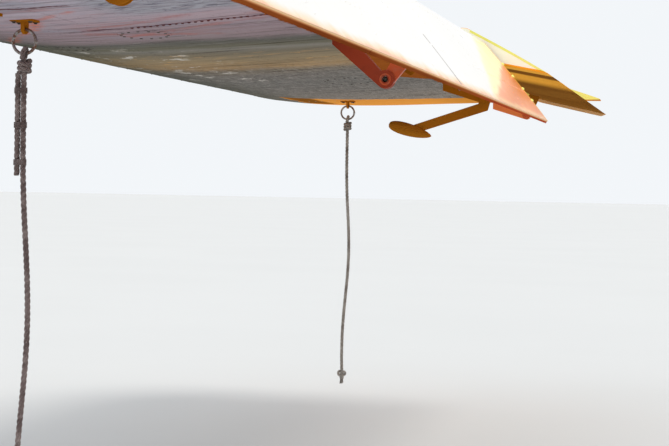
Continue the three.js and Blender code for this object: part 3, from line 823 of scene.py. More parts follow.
def shaded_aft_reach(look):
    """Yellow paint darkened to orange brown as painted shade, reaching forward round the flap's outer hinge.
    """
    reach = look.y.step(3.65, 4.45) * look.y.step(4.93, 4.66) * 0.092
    edge = look.x + look.wander(20, 0.03) + reach
    start = AFT_JOINT - FRONT_SPAR
    brown = look.mix(look.noise((5, 20, 9), 5, 0.7), (0.28, 0.075, 0.012), (0.46, 0.135, 0.026))
    look.over(edge.step(start - 0.014, start - 0.006), brown)


def speckle(look):
    """Fine light and dark specks over the outboard half; the light ones are painted glints."""
    outer = look.y.step(3.6, 4.3)
    grain = look.noise((120, 12, 5), 5, 0.8, 0.4)
    fine = look.noise((60, 24, 5), 5, 0.85)
    for source, low, high, strength, colour in (
        (grain, 0.53, 0.60, 0.4, (0.46, 0.43, 0.39)),
        (grain, 0.45, 0.38, 0.45, (0.08, 0.072, 0.064)),
        (fine, 0.56, 0.64, 0.5, (0.50, 0.47, 0.43)),
        (fine, 0.44, 0.37, 0.5, (0.06, 0.055, 0.05)),
    ):
        look.over(source.step(low, high) * outer * strength, colour)


def ripple_reflection_patch(look):
    """Blue-grey with fine wavy marks between the spars: a painted reflection of rippled water."""
    where = look.x.window(0.22, 0.66, 0.12) * look.y.window(1.9, 2.5, 0.14)
    waves = look.noise((9, 26, 5), 4, 0.6, 2.6)
    look.over(where * 0.75, (0.34, 0.34, 0.39))
    look.over(waves.step(0.50, 0.56) * where * 0.6, (0.52, 0.54, 0.60))
    look.over(waves.step(0.46, 0.40) * where * 0.6, (0.09, 0.09, 0.12))


def gold_scratches(look):
    """Bright orange scuffs and white scrapes in the brass-coloured band."""
    scuffs = look.noise((5, 22, 5), 5, 0.65, 1.5).step(0.60, 0.66)
    look.over(scuffs * look.y.window(3.3, 4.1, 0.2) * 0.8, (0.85, 0.50, 0.20))
    scrapes = look.noise((14, 11, 5), 4, 0.6).step(0.58, 0.63)
    front = look.y.window(3.1, 4.6, 0.2) * look.x.step(0.18, 0.02)
    look.over(scrapes * front * 0.85, (0.72, 0.68, 0.62))


def amber_tip(look):
    """Amber paint on the outer end, up to a slanted edge that dirt has blurred; darker aft and near the
    leading edge as painted shade.
    """
    blur = look.wander(14, 0.08, 3)
    edge = look.y - look.x * 0.87
    share = (edge + blur).step(5.600, 5.632) * (look.x + blur).step(-0.205, -0.190)
    amber = look.mix(look.noise((3, 40, 9), 5, 0.6), (0.98, 0.35, 0.05), (1.0, 0.46, 0.10))
    # Darker aft: painted shade
    amber = look.mix(look.x.step(0.28, 0.55) * 0.6, amber, (0.62, 0.24, 0.03))
    # Dark near the leading edge: painted shade
    nose_shade = look.x.window(-0.21, -0.06, 0.04) * edge.step(6.16, 6.08) * 0.85
    look.over(share, look.mix(nose_shade, amber, (0.20, 0.07, 0.010)))


def flap_paint():
    """Flap's upper skin: cream white, with the aileron's shadow painted on the outer corner in orange pink, a
    pale yellow slanting band painted as its soft edge, and painted shade along the trailing edge.
    """
    look = Look("flap_cream_with_painted_shadow", 0.3, 0.0, 0.3)
    look.base(look.mix(look.noise(1.3, 3).step(0.3, 0.7), (0.79, 0.765, 0.73), (0.83, 0.805, 0.77)))
    aft = look.unturned(FLAP_HINGE, FLAP_DOWN)[0] + look.wander(9, 0.04, 3)
    # The outer corner is the aileron's painted shadow, and the pale yellow band next to it its painted soft
    # edge
    corner = (aft + look.y * 0.209).step(2.178, 2.198)
    look.over((aft + look.y * 0.3458).step(2.545, 2.585) * 0.9, (0.86, 0.81, 0.36))
    look.over(corner, (0.87, 0.268, 0.100))
    look.over(look.cells(22).step(0.20, 0.12) * corner * 0.5, (0.92, 0.46, 0.22))
    # Peach then orange at the trailing edge: painted shade along its rounded end
    look.over(aft.step(CHORD - 0.030, CHORD - 0.006) * 0.9, (0.92, 0.56, 0.25))
    look.over(aft.step(CHORD - 0.012, CHORD - 0.002), (0.80, 0.36, 0.14))
    look.over(look.y.step(FLAP_OUTER - 0.040, FLAP_OUTER - 0.030) * corner, (0.95, 0.44, 0.07))
    look.over(look.noise((4, 24, 6), 6, 0.65).step(0.58, 0.8) * 0.16, (0.52, 0.42, 0.33))
    look.roughness(look.noise(9, 5), 0.22, 0.42)
    look.bump(look.noise(220, 2), 0.1, 0.0004)
    return look.material


def steel():
    """Dull steel with brown rust in patches."""
    look = Look("rusty_steel", 0.42, 0.85)
    patches = look.noise(55, 6, 0.7)
    rust = patches.step(0.46, 0.6)
    look.base(look.mix(look.noise(14, 4), (0.26, 0.25, 0.24), (0.42, 0.40, 0.38)))
    look.over(rust, (0.16, 0.06, 0.025))
    look.set("Metallic", patches.step(0.6, 0.46))
    look.roughness(rust, 0.3, 0.75)
    look.bump(look.noise(240, 5), 0.35, 0.0008)
    return look.material


def zinc_plate():
    """Bolts, nuts and washers."""
    look = Look("plated_fasteners", 0.35, 0.9)
    stain = look.noise(90, 4).step(0.45, 0.62)
    look.base(look.mix(stain, (0.50, 0.47, 0.40), (0.20, 0.12, 0.07)))
    look.roughness(stain, 0.28, 0.6)
    look.bump(look.noise(400, 3), 0.2, 0.0003)
    return look.material


def rope_fibre(name, dark, middle, light):
    """Weathered laid rope: yarns along each strand, fading in patches, darker between the yarns."""
    look = Look(name, 0.85, 0.0, 0.0, 0.2)
    along, around, _ = look.split(look.node("TexCoord", "UV"))
    yarn = look.math("SINE", (around * 9.0 + along * 0.9) * (2 * math.pi)) * 0.5 + 0.5
    look.base(look.ramp(look.noise(26, 6, 0.7), [(0.32, dark), (0.5, middle), (0.68, light)]))
    look.over(yarn.step(0.4, 0.0) * 0.6, tuple(c * 0.4 for c in dark))
    look.over(look.noise((420, 420, 160), 4).step(0.6, 0.72) * 0.5, tuple(min(c * 1.5, 1) for c in light))
    look.set("Sheen Weight", 0.35)
    look.bump(yarn, 0.5, 0.0006)
    look.bump(look.noise((500, 500, 200), 4), 0.4, 0.0006)
    return look.material


def green_lens():
    look = Look("green_lens", 0.08)
    look.base(look.mix(look.noise(20, 3), (0.01, 0.26, 0.10), (0.02, 0.36, 0.16)))
    look.set("Transmission Weight", 0.55)
    look.bump(look.noise(90, 1), 0.08, 0.0008)
    return look.material


def floor_paint():
    """Plain pale grey; its underside is clear, so that a view from below sees the wing."""
    look = Look("pale_floor", 0.7, 0.0, 0.0, 0.1)
    look.base(look.mix(look.noise(0.5, 3), (0.60, 0.605, 0.605), (0.63, 0.635, 0.635)))
    one_sided = look.node("MixShader", "Shader", {
        "Fac": look.node("NewGeometry", "Backfacing"), 1: Signal(look, look.shader.outputs["BSDF"]),
        2: look.node("BsdfTransparent", "BSDF"),
    })
    look.feed(look.tree.nodes["Material Output"].inputs["Surface"], one_sided)
    return look.material


def all_paints():
    """Every finish by its short name."""
    looks = {name: paint(*row) for name, row in PAINTS.items()}
    painted_highlight_bands(looks["aileron_under"])
    red_edge_and_highlight(looks["red_edge_and_highlight"])
    for name, row in BRACKET_REDS.items():
        looks[name] = paint(*row, *BRACKET_FINISH)
        worn_edges(looks[name])
    paints = {name: look.material for name, look in looks.items()}
    paints |= {name: mottled(*row) for name, row in MOTTLED.items()}
    paints |= {"under": underside_paint(), "cream": flap_paint(), "lens": green_lens()}
    paints |= {"steel": steel(), "metal": zinc_plate()}
    return paints


# Camera, floor and lights
def camera():
    data = bpy.data.cameras.new("camera")
    data.lens = LENS
    data.clip_start = 0.05
    data.clip_end = 1000
    eye = linked("camera", data)
    turn = Matrix.Translation(CAMERA_PLACE)
    for degrees, axis in ((CAMERA_YAW, "Z"), (90 + CAMERA_PITCH, "X"), (CAMERA_ROLL, "Z")):
        turn = turn @ Matrix.Rotation(math.radians(degrees), 4, axis)
    eye.matrix_world = turn
    bpy.context.scene.camera = eye


def floor(level):
    half = FLOOR_SIZE / 2
    corners = [(x * half, y * half, level) for x, y in ((-1, -1), (1, -1), (1, 1), (-1, 1))]
    mesh = bpy.data.meshes.new("floor")
    mesh.from_pydata(corners, [], [(0, 1, 2, 3)])
    mesh.materials.append(floor_paint())
    linked("floor", mesh)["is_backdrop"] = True


def sun(name, heading, strength, softness, colour):
    """A broad soft light from one side; heading points from the wing towards it."""
    data = bpy.data.lights.new(name, "SUN")
    data.energy = strength
    data.angle = math.radians(softness)
    data.color = colour
    linked(name, data).rotation_euler = Vector(heading).to_track_quat("Z", "Y").to_euler()


def lights():
    sun("key", (0.55, 0.10, 0.85), 1.5, 24, (1.0, 0.96, 0.89))
    sun("fill", (-0.5, -0.7, 0.6), 0.35, 50, (0.90, 0.95, 1.0))
    sun("side", (0.1, -1.0, 0.03), 0.45, 40, (1.0, 0.98, 0.94))
    world = bpy.data.worlds.new("studio")
    world.use_nodes = True
    sky = world.node_tree.nodes["Background"]
    sky.inputs["Color"].default_value = (0.94, 0.97, 1.0, 1)
    sky.inputs["Strength"].default_value = 0.95
    bpy.context.scene.world = world
    bpy.context.scene.view_settings.view_transform = "Standard"


# Ropes
def smooth_line(points, count):
    """A smooth curve through the points, as many steps as asked, evenly spread."""
    ends = [points[0] * 2 - points[1], *points, points[-1] * 2 - points[-2]]
    fine = []
    for a, b, c, d in zip(ends, ends[1:], ends[2:], ends[3:]):
        for i in range(24):
            t = i / 24
            square = (a * 2 - b * 5 + c * 4 - d) * t**2
            fine.append(0.5 * (b * 2 + (c - a) * t + square + (b * 3 - a - c * 3 + d) * t**3))
    fine.append(points[-1].copy())
    runs = [0.0]
    for a, b in zip(fine, fine[1:]):
        runs.append(runs[-1] + (b - a).length)
    line = []
    k = 0
    for i in range(count + 1):
        goal = runs[-1] * i / count
        while k < len(runs) - 2 and runs[k + 1] < goal:
            k += 1
        span = max(runs[k + 1] - runs[k], 1e-9)
        line.append(fine[k].lerp(fine[k + 1], (goal - runs[k]) / span))
    return line


def laid_rope(build, line, diameter, closed=False):
    """Three strands twisted round each other along a line."""
    strand = diameter * 0.5 * 0.52
    offset = diameter * 0.5 - strand
    frames = frames_along(line, closed)
    turns = sum((b - a).length for a, b in zip(line, line[1:])) / ROPE_LAY
    if closed:
        turns = max(round(turns * 3), 1) / 3
    for k in range(3):
        path = []
        for i, (middle, across, up) in enumerate(frames):
            a = 2 * math.pi * (k / 3 + turns * i / (len(frames) - (0 if closed else 1)))
            path.append(middle + (across * math.cos(a) + up * math.sin(a)) * offset)
        build.tube(path, strand, 9, closed)


def rope_piece(build, name, material, nodes=()):
    return build.finish(name, [material], "wing", "rope", nodes, 50)


def rope_eye(end, material):
    """The rope's end passed round the ring, and the knot that holds it: turns round the standing part."""
    low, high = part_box(f"rope_eye_{end}")
    x, y = (low.x + high.x) / 2, (low.y + high.y) / 2
    middle = high.z - EYE_RADIUS - 0.006
    build = Build()
    loop = []
    for i in range(36):
        a = math.radians(-60 + 300 * i / 35)
        tilt = a + math.pi / 6
        side, rise = EYE_RADIUS * math.cos(tilt), EYE_RADIUS * math.sin(tilt)
        loop.append(Vector((x + 0.004 * math.sin(a), y + side, middle + rise)))
    laid_rope(build, loop, ROPE_DIAMETER * 0.86)
    coil = []
    for i in range(90):
        a = 2 * math.pi * HITCH_TURNS * i / 89
        wide = HITCH_RADIUS + 0.001 * math.sin(3 * a)
        z = middle - 0.016 - HITCH_HEIGHT * i / 89
        coil.append(Vector((x + wide * math.cos(a), y + wide * math.sin(a), z)))
    laid_rope(build, coil, ROPE_DIAMETER * 0.9)
    core = [Vector((x, y, middle - 0.010 - 0.042 * i / 11)) for i in range(12)]
    laid_rope(build, core, ROPE_DIAMETER)
    return rope_piece(build, f"rope_hitch_{end}", material, [f"rope_eye_{end}"])


def end_knot(end, material):
    """An overhand knot with a short frayed end under it."""
    low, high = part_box(f"rope_knot_{end}")
    middle = (low + high) / 2
    build = Build()
    line = []
    for i in range(96):
        t = 2 * math.pi * i / 96
        line.append(middle + Vector((
            KNOT_SIZE * (math.sin(t) + 1.75 * math.sin(2 * t)),
            KNOT_SIZE * 1.1 * math.sin(3 * t),
            KNOT_SIZE * 1.15 * (math.cos(t) - 1.75 * math.cos(2 * t)),
        )))
    laid_rope(build, line, ROPE_DIAMETER * 0.82, True)
    for k in range(FRAYED_ENDS):
        a = GOLDEN_ANGLE * k
        spread = FRAYED_RADIUS * math.sqrt(k / FRAYED_ENDS)
        foot = middle + Vector((spread * math.cos(a), spread * math.sin(a), -0.012))
        bend = Vector((math.cos(a), math.sin(a), 0)) * random.uniform(0.001, 0.006)
        drop = random.uniform(0.018, 0.032)
        path = [foot + bend * (s * s) + Vector((0, 0, -drop * s)) for s in (0, 0.25, 0.5, 0.75, 1)]
        build.tube(path, TWINE, 6)
    return rope_piece(build, f"rope_end_{end}", material, [f"rope_knot_{end}"])


def hanging_ropes():
    looks = {
        "inboard": rope_fibre("rope_brown", (0.085, 0.055, 0.05), (0.21, 0.155, 0.145), (0.40, 0.33, 0.31)),
        "outboard": rope_fibre("rope_grey", (0.17, 0.14, 0.12), (0.36, 0.32, 0.28), (0.56, 0.52, 0.47)),
    }
    for end, material in looks.items():
        y, length = TIEDOWNS[end]
        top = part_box(f"rope_{end}")[1].z
        bends = [
            Vector((TIEDOWN_X - FRONT_SPAR + dx / 1000, y + dy / 1000, top - share * length))
            for share, dx, dy in ROPE_BENDS
        ]
        route = smooth_line(bends, round(length / ROPE_STEP))
        build = Build()
        laid_rope(build, route, ROPE_DIAMETER)
        rope = rope_piece(build, f"tie_rope_{end}", material, [f"rope_{end}"])
        pieces = [rope_eye(end, material), end_knot(end, material)]
    rope_tail(looks["inboard"])


def rope_tail(material):
    """The inboard rope's short end, laid down beside it and bound to it three times."""
    low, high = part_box("rope_tail_inboard")
    x, y = (low.x + high.x) / 2, (low.y + high.y) / 2
    line = smooth_line([Vector((x, y, high.z - (high.z - low.z) * i / 6)) for i in range(7)], 70)
    build = Build()
    laid_rope(build, line, ROPE_DIAMETER)
    tail = rope_piece(build, "rope_short_end", material, ["rope_tail_inboard"])
    half = (ROPE_DIAMETER + 2 * GAP) / 2
    bind = Build()
    wide = half + WHIPPING_RADIUS
    for drop in WHIPPINGS:
        for turn in range(WHIPPING_TURNS):
            z = high.z - drop - WHIPPING_PITCH * turn
            path = [Vector((x + half + wide * c, y + WHIPPING_RADIUS * s, z)) for c, s in circle(28)]
            bind.tube(path, TWINE, 6, True)
    twine = rope_piece(bind, "rope_whipping", material)


# Wing panels
def wing_body(name, outline, y0, y1, materials, node):
    """A panel of the wing between two stations, its sheet slightly proud between ribs."""
    build = Build()
    lifts = {"upper": 1, "lower": -1}
    rings = []
    for y in rows(y0, y1, RIB_PITCH / 7):
        rings.append([place(x, y, z + pillow(x, y) * lifts.get(kind, 0)) for x, z, kind in outline])
    build.rings(rings, [KINDS[kind] for _, _, kind in outline], (KINDS["inner"], KINDS["inner"]))
    build.finish(name, materials, "wing", "wing_skin", [node])


def inner_end(line):
    """The line with the stretch after its last point on the inside."""
    return line[:-1] + [(*line[-1][:2], "inner")]


def round_nose(upper_end, lower_end, upper_steps, lower_steps):
    """From a place on the upper skin forward round the nose and back along the lower skin."""
    upper = skin_line(0, upper_end, 1, upper_steps, "upper")[::-1]
    return upper + skin_line(0, lower_end, -1, lower_steps, "lower")[1:]


def nose_outline():
    return inner_end(round_nose(NOSE_JOINT - GAP, NOSE_JOINT - GAP, 26, 26))


def centre_outline():
    upper = skin_line(NOSE_JOINT, AFT_JOINT - GAP, 1, 40, "upper")[::-1]
    lower = skin_line(NOSE_JOINT, AFT_JOINT - GAP, -1, 40, "lower")
    return inner_end(upper) + inner_end(lower)


def cove(lip, wall):
    """From the lip's edge forward under the shroud and down the rear wall to the lower skin."""
    roof = []
    for i in range(9):
        x = lip + (wall + COVE_ROOF - lip) * i / 8
        roof.append((x, skin(x, 1) - LIP_EDGE - (SHROUD - LIP_EDGE) * i / 8, "cove"))
    corner = [
        (wall + COVE_CORNER, skin(wall + COVE_CORNER, 1) - SHROUD),
        (wall + 0.004, skin(wall + 0.040, 1) - 2 * SHROUD),
        (wall, skin(wall, -1) + COVE_FOOT),
    ]
    return roof + bezier(corner, 10, "cove")


def bay_outline(lip, wall):
    upper = skin_line(AFT_JOINT, lip, 1, 12, "upper")
    lower = skin_line(AFT_JOINT, wall, -1, 6, "lower")[::-1]
    return upper + cove(lip, wall) + inner_end(lower)


def fixed_outline(lip, wall, count, nose=0.0):
    """The whole section ahead of a cove, and the cove, which stays where it is when the nose sweeps back."""
    upper_end, lower_end = ((x - nose) * CHORD / (CHORD - nose) for x in (lip, wall))
    return round_nose(upper_end, lower_end, count + 4, count) + cove(lip, wall)[::-1]


def tip_nose(share):
    """How far the leading edge has swept back at a share of the tip's width."""
    return TIP_SWEEP * (1 - math.sqrt(1 - share * share))


def tip_shape(x, z, side, share):
    """A point of the section at a share of the tip's width: the nose sweeps back and the section thins."""
    nose = tip_nose(share)
    thin = math.sqrt(1 - TIP_THINNING * share * share)
    u = nose + x * (CHORD - nose) / CHORD
    low, high = TIP_FULL_FROM * CHORD, TIP_FULL_AT * CHORD
    t = min(max((u - low) / (high - low), 0), 1)
    aft = t * t * (3 - 2 * t)
    thinned = TIP_CENTRE_Z + (z - TIP_CENTRE_Z) * thin
    fall = TIP_FALL * share * share * max(u - AILERON_LIP, 0) / (CHORD - AILERON_LIP)
    return u, thinned + (skin(u, side) - thinned) * aft - fall


def tip_ring(share, outline):
    y = TIP_START + share * (SPAN - TIP_START)
    ring = []
    for x, z, kind in outline:
        u, w = (x, z) if kind == "cove" else tip_shape(x, z, -1 if kind == "lower" else 1, share)
        ring.append(place(u, y, w))
    return ring


def wing_tip(materials):
    """The tip: a cove for the aileron's end, then the whole section out to the rounded edge."""
    build = Build()
    sides = {"upper": 0, "cove": 0, "lower": 1}
    split = (AILERON_BAY_END - TIP_START) / (SPAN - TIP_START)
    inner = [split * i / 12 for i in range(13)]
    cuts = [fixed_outline(AILERON_LIP, AILERON_WALL, 42, tip_nose(share)) for share in inner]
    rings = [tip_ring(share, cut) for share, cut in zip(inner, cuts)]
    build.rings(rings, [sides[kind] for _, _, kind in cuts[0]])
    whole = round_nose(CHORD - TIP_OUTLINE_END, CHORD - TIP_OUTLINE_END, 50, 50)
    first = math.asin(split)
    outer = [math.sin(first + (math.pi / 2 - first) * i / 14) for i in range(15)]
    # The first cap of these rings, its inboard face, takes the third material: lemon, painted light
    build.rings([tip_ring(share, whole) for share in outer], [sides[kind] for _, _, kind in whole], (2, 0))
    build.finish("tip_fairing", materials, "wing", "yellow_paint", ["wing_tip"], 28)


def on_tip(x, y, side, proud=0.0):
    share = (y - TIP_START) / (SPAN - TIP_START)
    u, w = tip_shape(x, skin(x, side), side, share)
    return place(u, y, w + side * proud)


def tip_details(materials):
    """The tip's joint strip with its screws, and the dark drain slot near the leading edge."""
    build = Build()
    xs = [0.004 + (AILERON_WALL - 0.01) * (i / 40) ** 1.6 for i in range(41)]
    first, pitch, count = TIP_SCREWS
    for side, kind in ((1, 0), (-1, 1)):
        build.patch(on_tip, xs, [TIP_START + out for out in TIP_STRIP], side, 0.0012, kind)
        for i in range(count):
            build.rivet(on_tip, first + pitch * i, TIP_START + TIP_STRIP[1] / 2, side, SCREW, 3)
    x, out, rx, ry = DRAIN_SLOT
    build.cover(on_tip, x, TIP_START + out, -1, rx, ry, 2, height=0.0012, rim=0.002)
    build.finish("tip_joint", materials, "wing", "yellow_paint")


def rivet_spots(lines, start, end, ribs, fore, aft, pitch):
    """Rivets along lines of the span between two stations, and along the chord down each rib."""
    spots = [(x, y) for x in lines for y in spaced(start, end, RIVET_PITCH)]
    return spots + [(x, y) for y in ribs for x in spaced(fore, aft, pitch)]


def wing_rivets(materials):
    """Rows of rivets along the spars and stringers and down each rib, on both skins."""
    build = Build()
    lines, ribs = (*SPAR_ROWS, *STRINGERS), spaced(RIB_OUTER + 0.03, TIP_START, RIB_PITCH)
    ends = (RIB_OUTER + 0.02, TIP_START - 0.01)
    for x, y in rivet_spots(lines, *ends, ribs, 0.03, AFT_JOINT + 0.06, RIVET_PITCH * 0.9):
        build.rivet(on_wing, x, y, 1, RIVET, 0, 6)
        build.rivet(on_wing, x, y, -1, RIVET, 1 if x < AFT_JOINT else 2, 6)
    build.finish("wing_rivets", materials, "wing", "wing_skin", sharp=60)


def wing_laps(materials):
    """Straps and laps where sheets join, inspection covers, rust-stained rivets, and fittings' doublers."""
    build = Build()
    stations = rows(RIB_OUTER + 0.001, TIP_START - 0.001, RIB_PITCH / 7)
    xs = [0.002 + 1.05 * (i / 44) ** 1.5 for i in range(45)]
    for side, kind in ((1, 1), (-1, 0)):
        for x in (NOSE_JOINT, REAR_SPAR):
            build.patch(on_wing, about(x, SPAR_STRAP_HALF), stations, side, SHEET, kind)
        for y in LAPS:
            build.patch(on_wing, xs, about(y, LAP_HALF), side, SHEET * 0.8, kind)
    for x, y, rx, ry in COVERS:
        build.cover(on_wing, x, y, -1, rx, ry)
        for c, s in circle(14):
            build.rivet(on_wing, x + (rx - 0.011) * c, y + (ry - 0.011) * s, -1, COVER_SCREW, 2, 8)
    x, y, dx, dy, count = STAINED_ROW
    for i in range(count):
        t = i / (count - 1)
        build.rivet(on_wing, x + dx * t, y + dy * t, -1, STAINED_RIVET, 3, 8)
    for y in DOUBLERS:
        build.patch(on_wing, rows(0.40, 0.60, 0.02), rows(*about(y, DOUBLER_HALF), 0.04), -1, SHEET)
    build.finish("wing_laps", materials, "wing", "wing_skin", sharp=40)


def root_rib(yellow, dark):
    """The root rib as pressed sheet with flanged holes."""
    build = Build()
    upper = skin_line(0.006, FLAP_WALL, 1, 40, "upper")[::-1]
    lower = skin_line(0.006, FLAP_WALL, -1, 40, "lower")
    holes = []
    for x, radius in RIB_HOLES:
        z = middle_line(x)
        holes.append([(x + radius * c, z + radius * s) for c, s in circle(36)])
        lip = [(0, radius + 0.006), (0, radius - 0.001), (0.006, radius - 0.001), (0.006, radius + 0.001)]
        build.hoop(place(x, RIB_INNER + 0.001, z), (0, -1, 0), lip, sides=40)
    build.plate([(x, z) for x, z, _ in upper + lower], holes, RIB_INNER, RIB_INNER + 0.002)
    whole = fixed_outline(FLAP_LIP, FLAP_WALL, 44)
    build.rings([[place(x, y, z) for x, z, _ in whole] for y in (RIB_INNER + 0.0025, RIB_OUTER)], 0, (1, 1))
    build.finish("root_closing_rib", [yellow, dark], "wing", "yellow_paint", ["root_rib"], 28)


def root_bolts(metal):
    build = Build()
    for spar, half in ROOT_LUGS:
        for z in about(LUG_Z, half):
            for x in about(spar, ROOT_BOLTS_HALF):
                build.bolt(place(x, RIB_INNER, z), (0, -1, 0), 0.006, 0.005)
    build.finish("root_bolts", [metal], "wing", "steel", sharp=30)


def wing(paints):
    start, end = RIB_OUTER + GAP, TIP_START - GAP
    yellow, under, aft, dark, metal = (paints[k] for k in ("yellow", "under", "aft", "dark", "metal"))
    front, rear = [yellow, under, dark, dark], [yellow, aft, dark]
    wing_body("nose_skin", nose_outline(), start, end, front, "leading_edge")
    wing_body("centre_skin", centre_outline(), start, end, front, "centre_panel")
    flap_bay, aileron_bay = bay_outline(FLAP_LIP, FLAP_WALL), bay_outline(AILERON_LIP, AILERON_WALL)
    wing_body("flap_cove", flap_bay, start, BAY_SPLIT, [*rear, paints["cream_primer"]], "flap_bay_panel")
    wing_body("aileron_cove", aileron_bay, BAY_SPLIT + GAP, end, [*rear, yellow], "aileron_bay_panel")
    wing_tip([yellow, under, paints["lit_lemon"]])
    tip_details([yellow, under, dark, metal])
    wing_rivets([yellow, under, aft])
    wing_laps([under, yellow, dark, paints["stain"]])
    root_rib(yellow, dark)
    root_bolts(metal)


# Flap and aileron
def hinged_outline(nose, flush, start, front, steps, belly, aft, count):
    """From the trailing edge forward to the flush point, round the nose, and back along the lower skin."""
    x, z = nose
    upper = skin_line(start, TRAILING_EDGE, 1, 20, "upper")[::-1]
    top = bezier([(flush, skin(flush, 1)), *front, nose], steps, "upper")
    bottom = bezier([nose, (x, z - 0.030), (x + belly, skin(x + belly, -1))], 10, "lower")[1:]
    return upper + top + bottom + skin_line(x + aft, TRAILING_EDGE, -1, count, "lower")


def flap_outline():
    x, z = FLAP_NOSE
    front = [(x + 0.050, z + 0.070), (x + 0.004, z + 0.065)]
    return hinged_outline(FLAP_NOSE, FLAP_FLUSH, FLAP_FLUSH + 0.008, front, 20, 0.056, 0.070, 16)


def aileron_outline():
    x, z = AILERON_NOSE
    front = [(x + 0.032, skin(AILERON_FLUSH, 1)), (x, z + 0.050)]
    return hinged_outline(AILERON_NOSE, AILERON_FLUSH, AILERON_FLUSH + 0.010, front, 18, 0.053, 0.068, 26)


def bead(x, y, centres):
    """Height of the stiffening beads that run along the chord."""
    start, end = BEAD_ENDS
    along = min(max((x - start) / BEAD_TAPER, 0), 1) * min(max((end - x) / BEAD_TAPER, 0), 1)
    across = max((1 - abs(y - c) / BEAD_HALF for c in centres), default=0)
    return BEAD_HEIGHT * along * math.sin(max(across, 0) * math.pi / 2)


def hinged_skin(part, name, beads, materials, edge):
    """The upper and lower skins between the end ribs; edge is the material of the trailing edge's face."""
    build = Build()
    stations = rows(part.inner + END_RIB + GAP, part.outer - END_RIB - GAP, 0.06)
    for c in beads:
        stations += [c + d * 0.005 for d in range(-10, 11)]
    rings = []
    for y in sorted(set(stations)):
        ring = []
        for x, z, kind in part.outline:
            ripple = RIPPLE * noise.noise(Vector((x * 7, y * 2.3, 1.7)))
            lift = ripple if kind == "upper" else -ripple - bead(x, y, beads)
            ring.append(part.point(x, y, z + lift))
        rings.append(ring)
    kinds = [0 if kind == "upper" else 1 for _, _, kind in part.outline]
    build.rings(rings, kinds[:-1] + [edge], (1, 1))
    build.finish(name, materials, part.body, part.slot, [part.body])


def rib_rings(part, y):
    """An end rib's outline at four stations, a little smaller at its two faces."""
    far = y + END_RIB
    rings = []
    for station, grow in ((y, -RIM_ROUND), (y + RIM_ROUND, 0), (far - RIM_ROUND, 0), (far, -RIM_ROUND)):
        ring = []
        for x, z, _ in part.outline:
            middle = middle_line(x)
            shrink = 1 + grow / max(abs(z - middle), 0.006)
            u, w = turned(x, middle + (z - middle) * shrink, part.hinge, part.degrees(y))
            ring.append(place(u, station, w))
        rings.append(ring)
    return rings


def under_lip(part, depth):
    """The outline of a lip below an end rib, which runs out at both ends."""
    under = [(x, z) for x, z, kind in part.outline if kind == "lower"]
    drop = [(x, z - depth * min(1, (CHORD - x) / 0.02, i / 3)) for i, (x, z) in enumerate(under)]
    return [(x, z + 0.002) for x, z in under] + drop[::-1]


def edge_band(part, side, start, depth):
    """The outline of a painted band inside one edge of an end rib, as far as the trailing edge."""
    line = [(x, z) for x, z, kind in part.outline if kind == side and x > start]
    inside = [(x, z - math.copysign(min(abs(depth), (CHORD - x) * 0.2), depth)) for x, z in line]
    return line + inside[::-1]


def end_rib(part, end, y, materials, sheets=()):
    """A pressed end rib; a sheet on it is an outline, its two faces' distances outboard and a material."""
    build = Build()
    build.rings(rib_rings(part, y), 1)
    for outline, y0, y1, kind in sheets:
        loop = [turned(x, z, part.hinge, part.degrees(y)) for x, z in outline]
        build.plate(loop, [], y + y0, y + y1, kind)
    name = f"{part.body}_end_{end}"
    build.finish(name, materials, part.body, "yellow_paint", [f"{part.body}_rib_{end}"], 25)


def hinged_rivets(part, lines, ribs, side, material):
    build = Build()
    ends = (part.inner + 0.02, part.outer - 0.012)
    for x, y in rivet_spots(lines, *ends, ribs, lines[0], CHORD - 0.02, 0.022):
        build.rivet(part.on, x, y, side, RIVET, 0, 6)
    build.finish(f"{part.body}_rivets", [material], part.body, part.slot, sharp=60)


def flap(paints):
    span = (FLAP_INNER, FLAP_OUTER)
    part = Hinged("flap", "flap_paint", FLAP_HINGE, FLAP_DOWN, (0, 0), span, flap_outline())
    hinged_skin(part, "flap_skin", [], [paints["cream"], paints["aft"]], 0)
    for end, y in (("inboard", FLAP_INNER), ("outboard", FLAP_OUTER - END_RIB)):
        end_rib(part, end, y, [paints["yellow"], paints["yellow"]])
    ribs = [FLAP_INNER + 0.03 + FLAP_RIB_PITCH * i for i in range(8)]
    hinged_rivets(part, FLAP_RIVETS, ribs, 1, paints["cream"])
    strip = Build()
    xs = [CHORD - ahead for ahead in (0.030, 0.024, 0.012, 0.003)]
    for y0, y1, depth in FLAP_STRIPS:
        strip.patch(part.on, xs, rows(y0, y1, 0.12), -1, depth, sunk=0.0004)
    strip.finish("flap_trailing_strip", [paints["red_edge_and_highlight"]], "flap", "orange_paint", sharp=30)
    lap = Build()
    along, across = FLAP_LAP
    lap.patch(part.on, rows(*along, 0.02), across, 1, 0.0005, sunk=0.0004)
    # These screws take the lemon material: painted glints
    for x in FLAP_SCREWS:
        lap.rivet(part.on, x, FLAP_OUTER - 0.016, 1, FLAP_SCREW, 1, 12)
    lap.finish("flap_lap", [paints["grey"], paints["lit_lemon"]], "flap", "flap_paint", sharp=40)


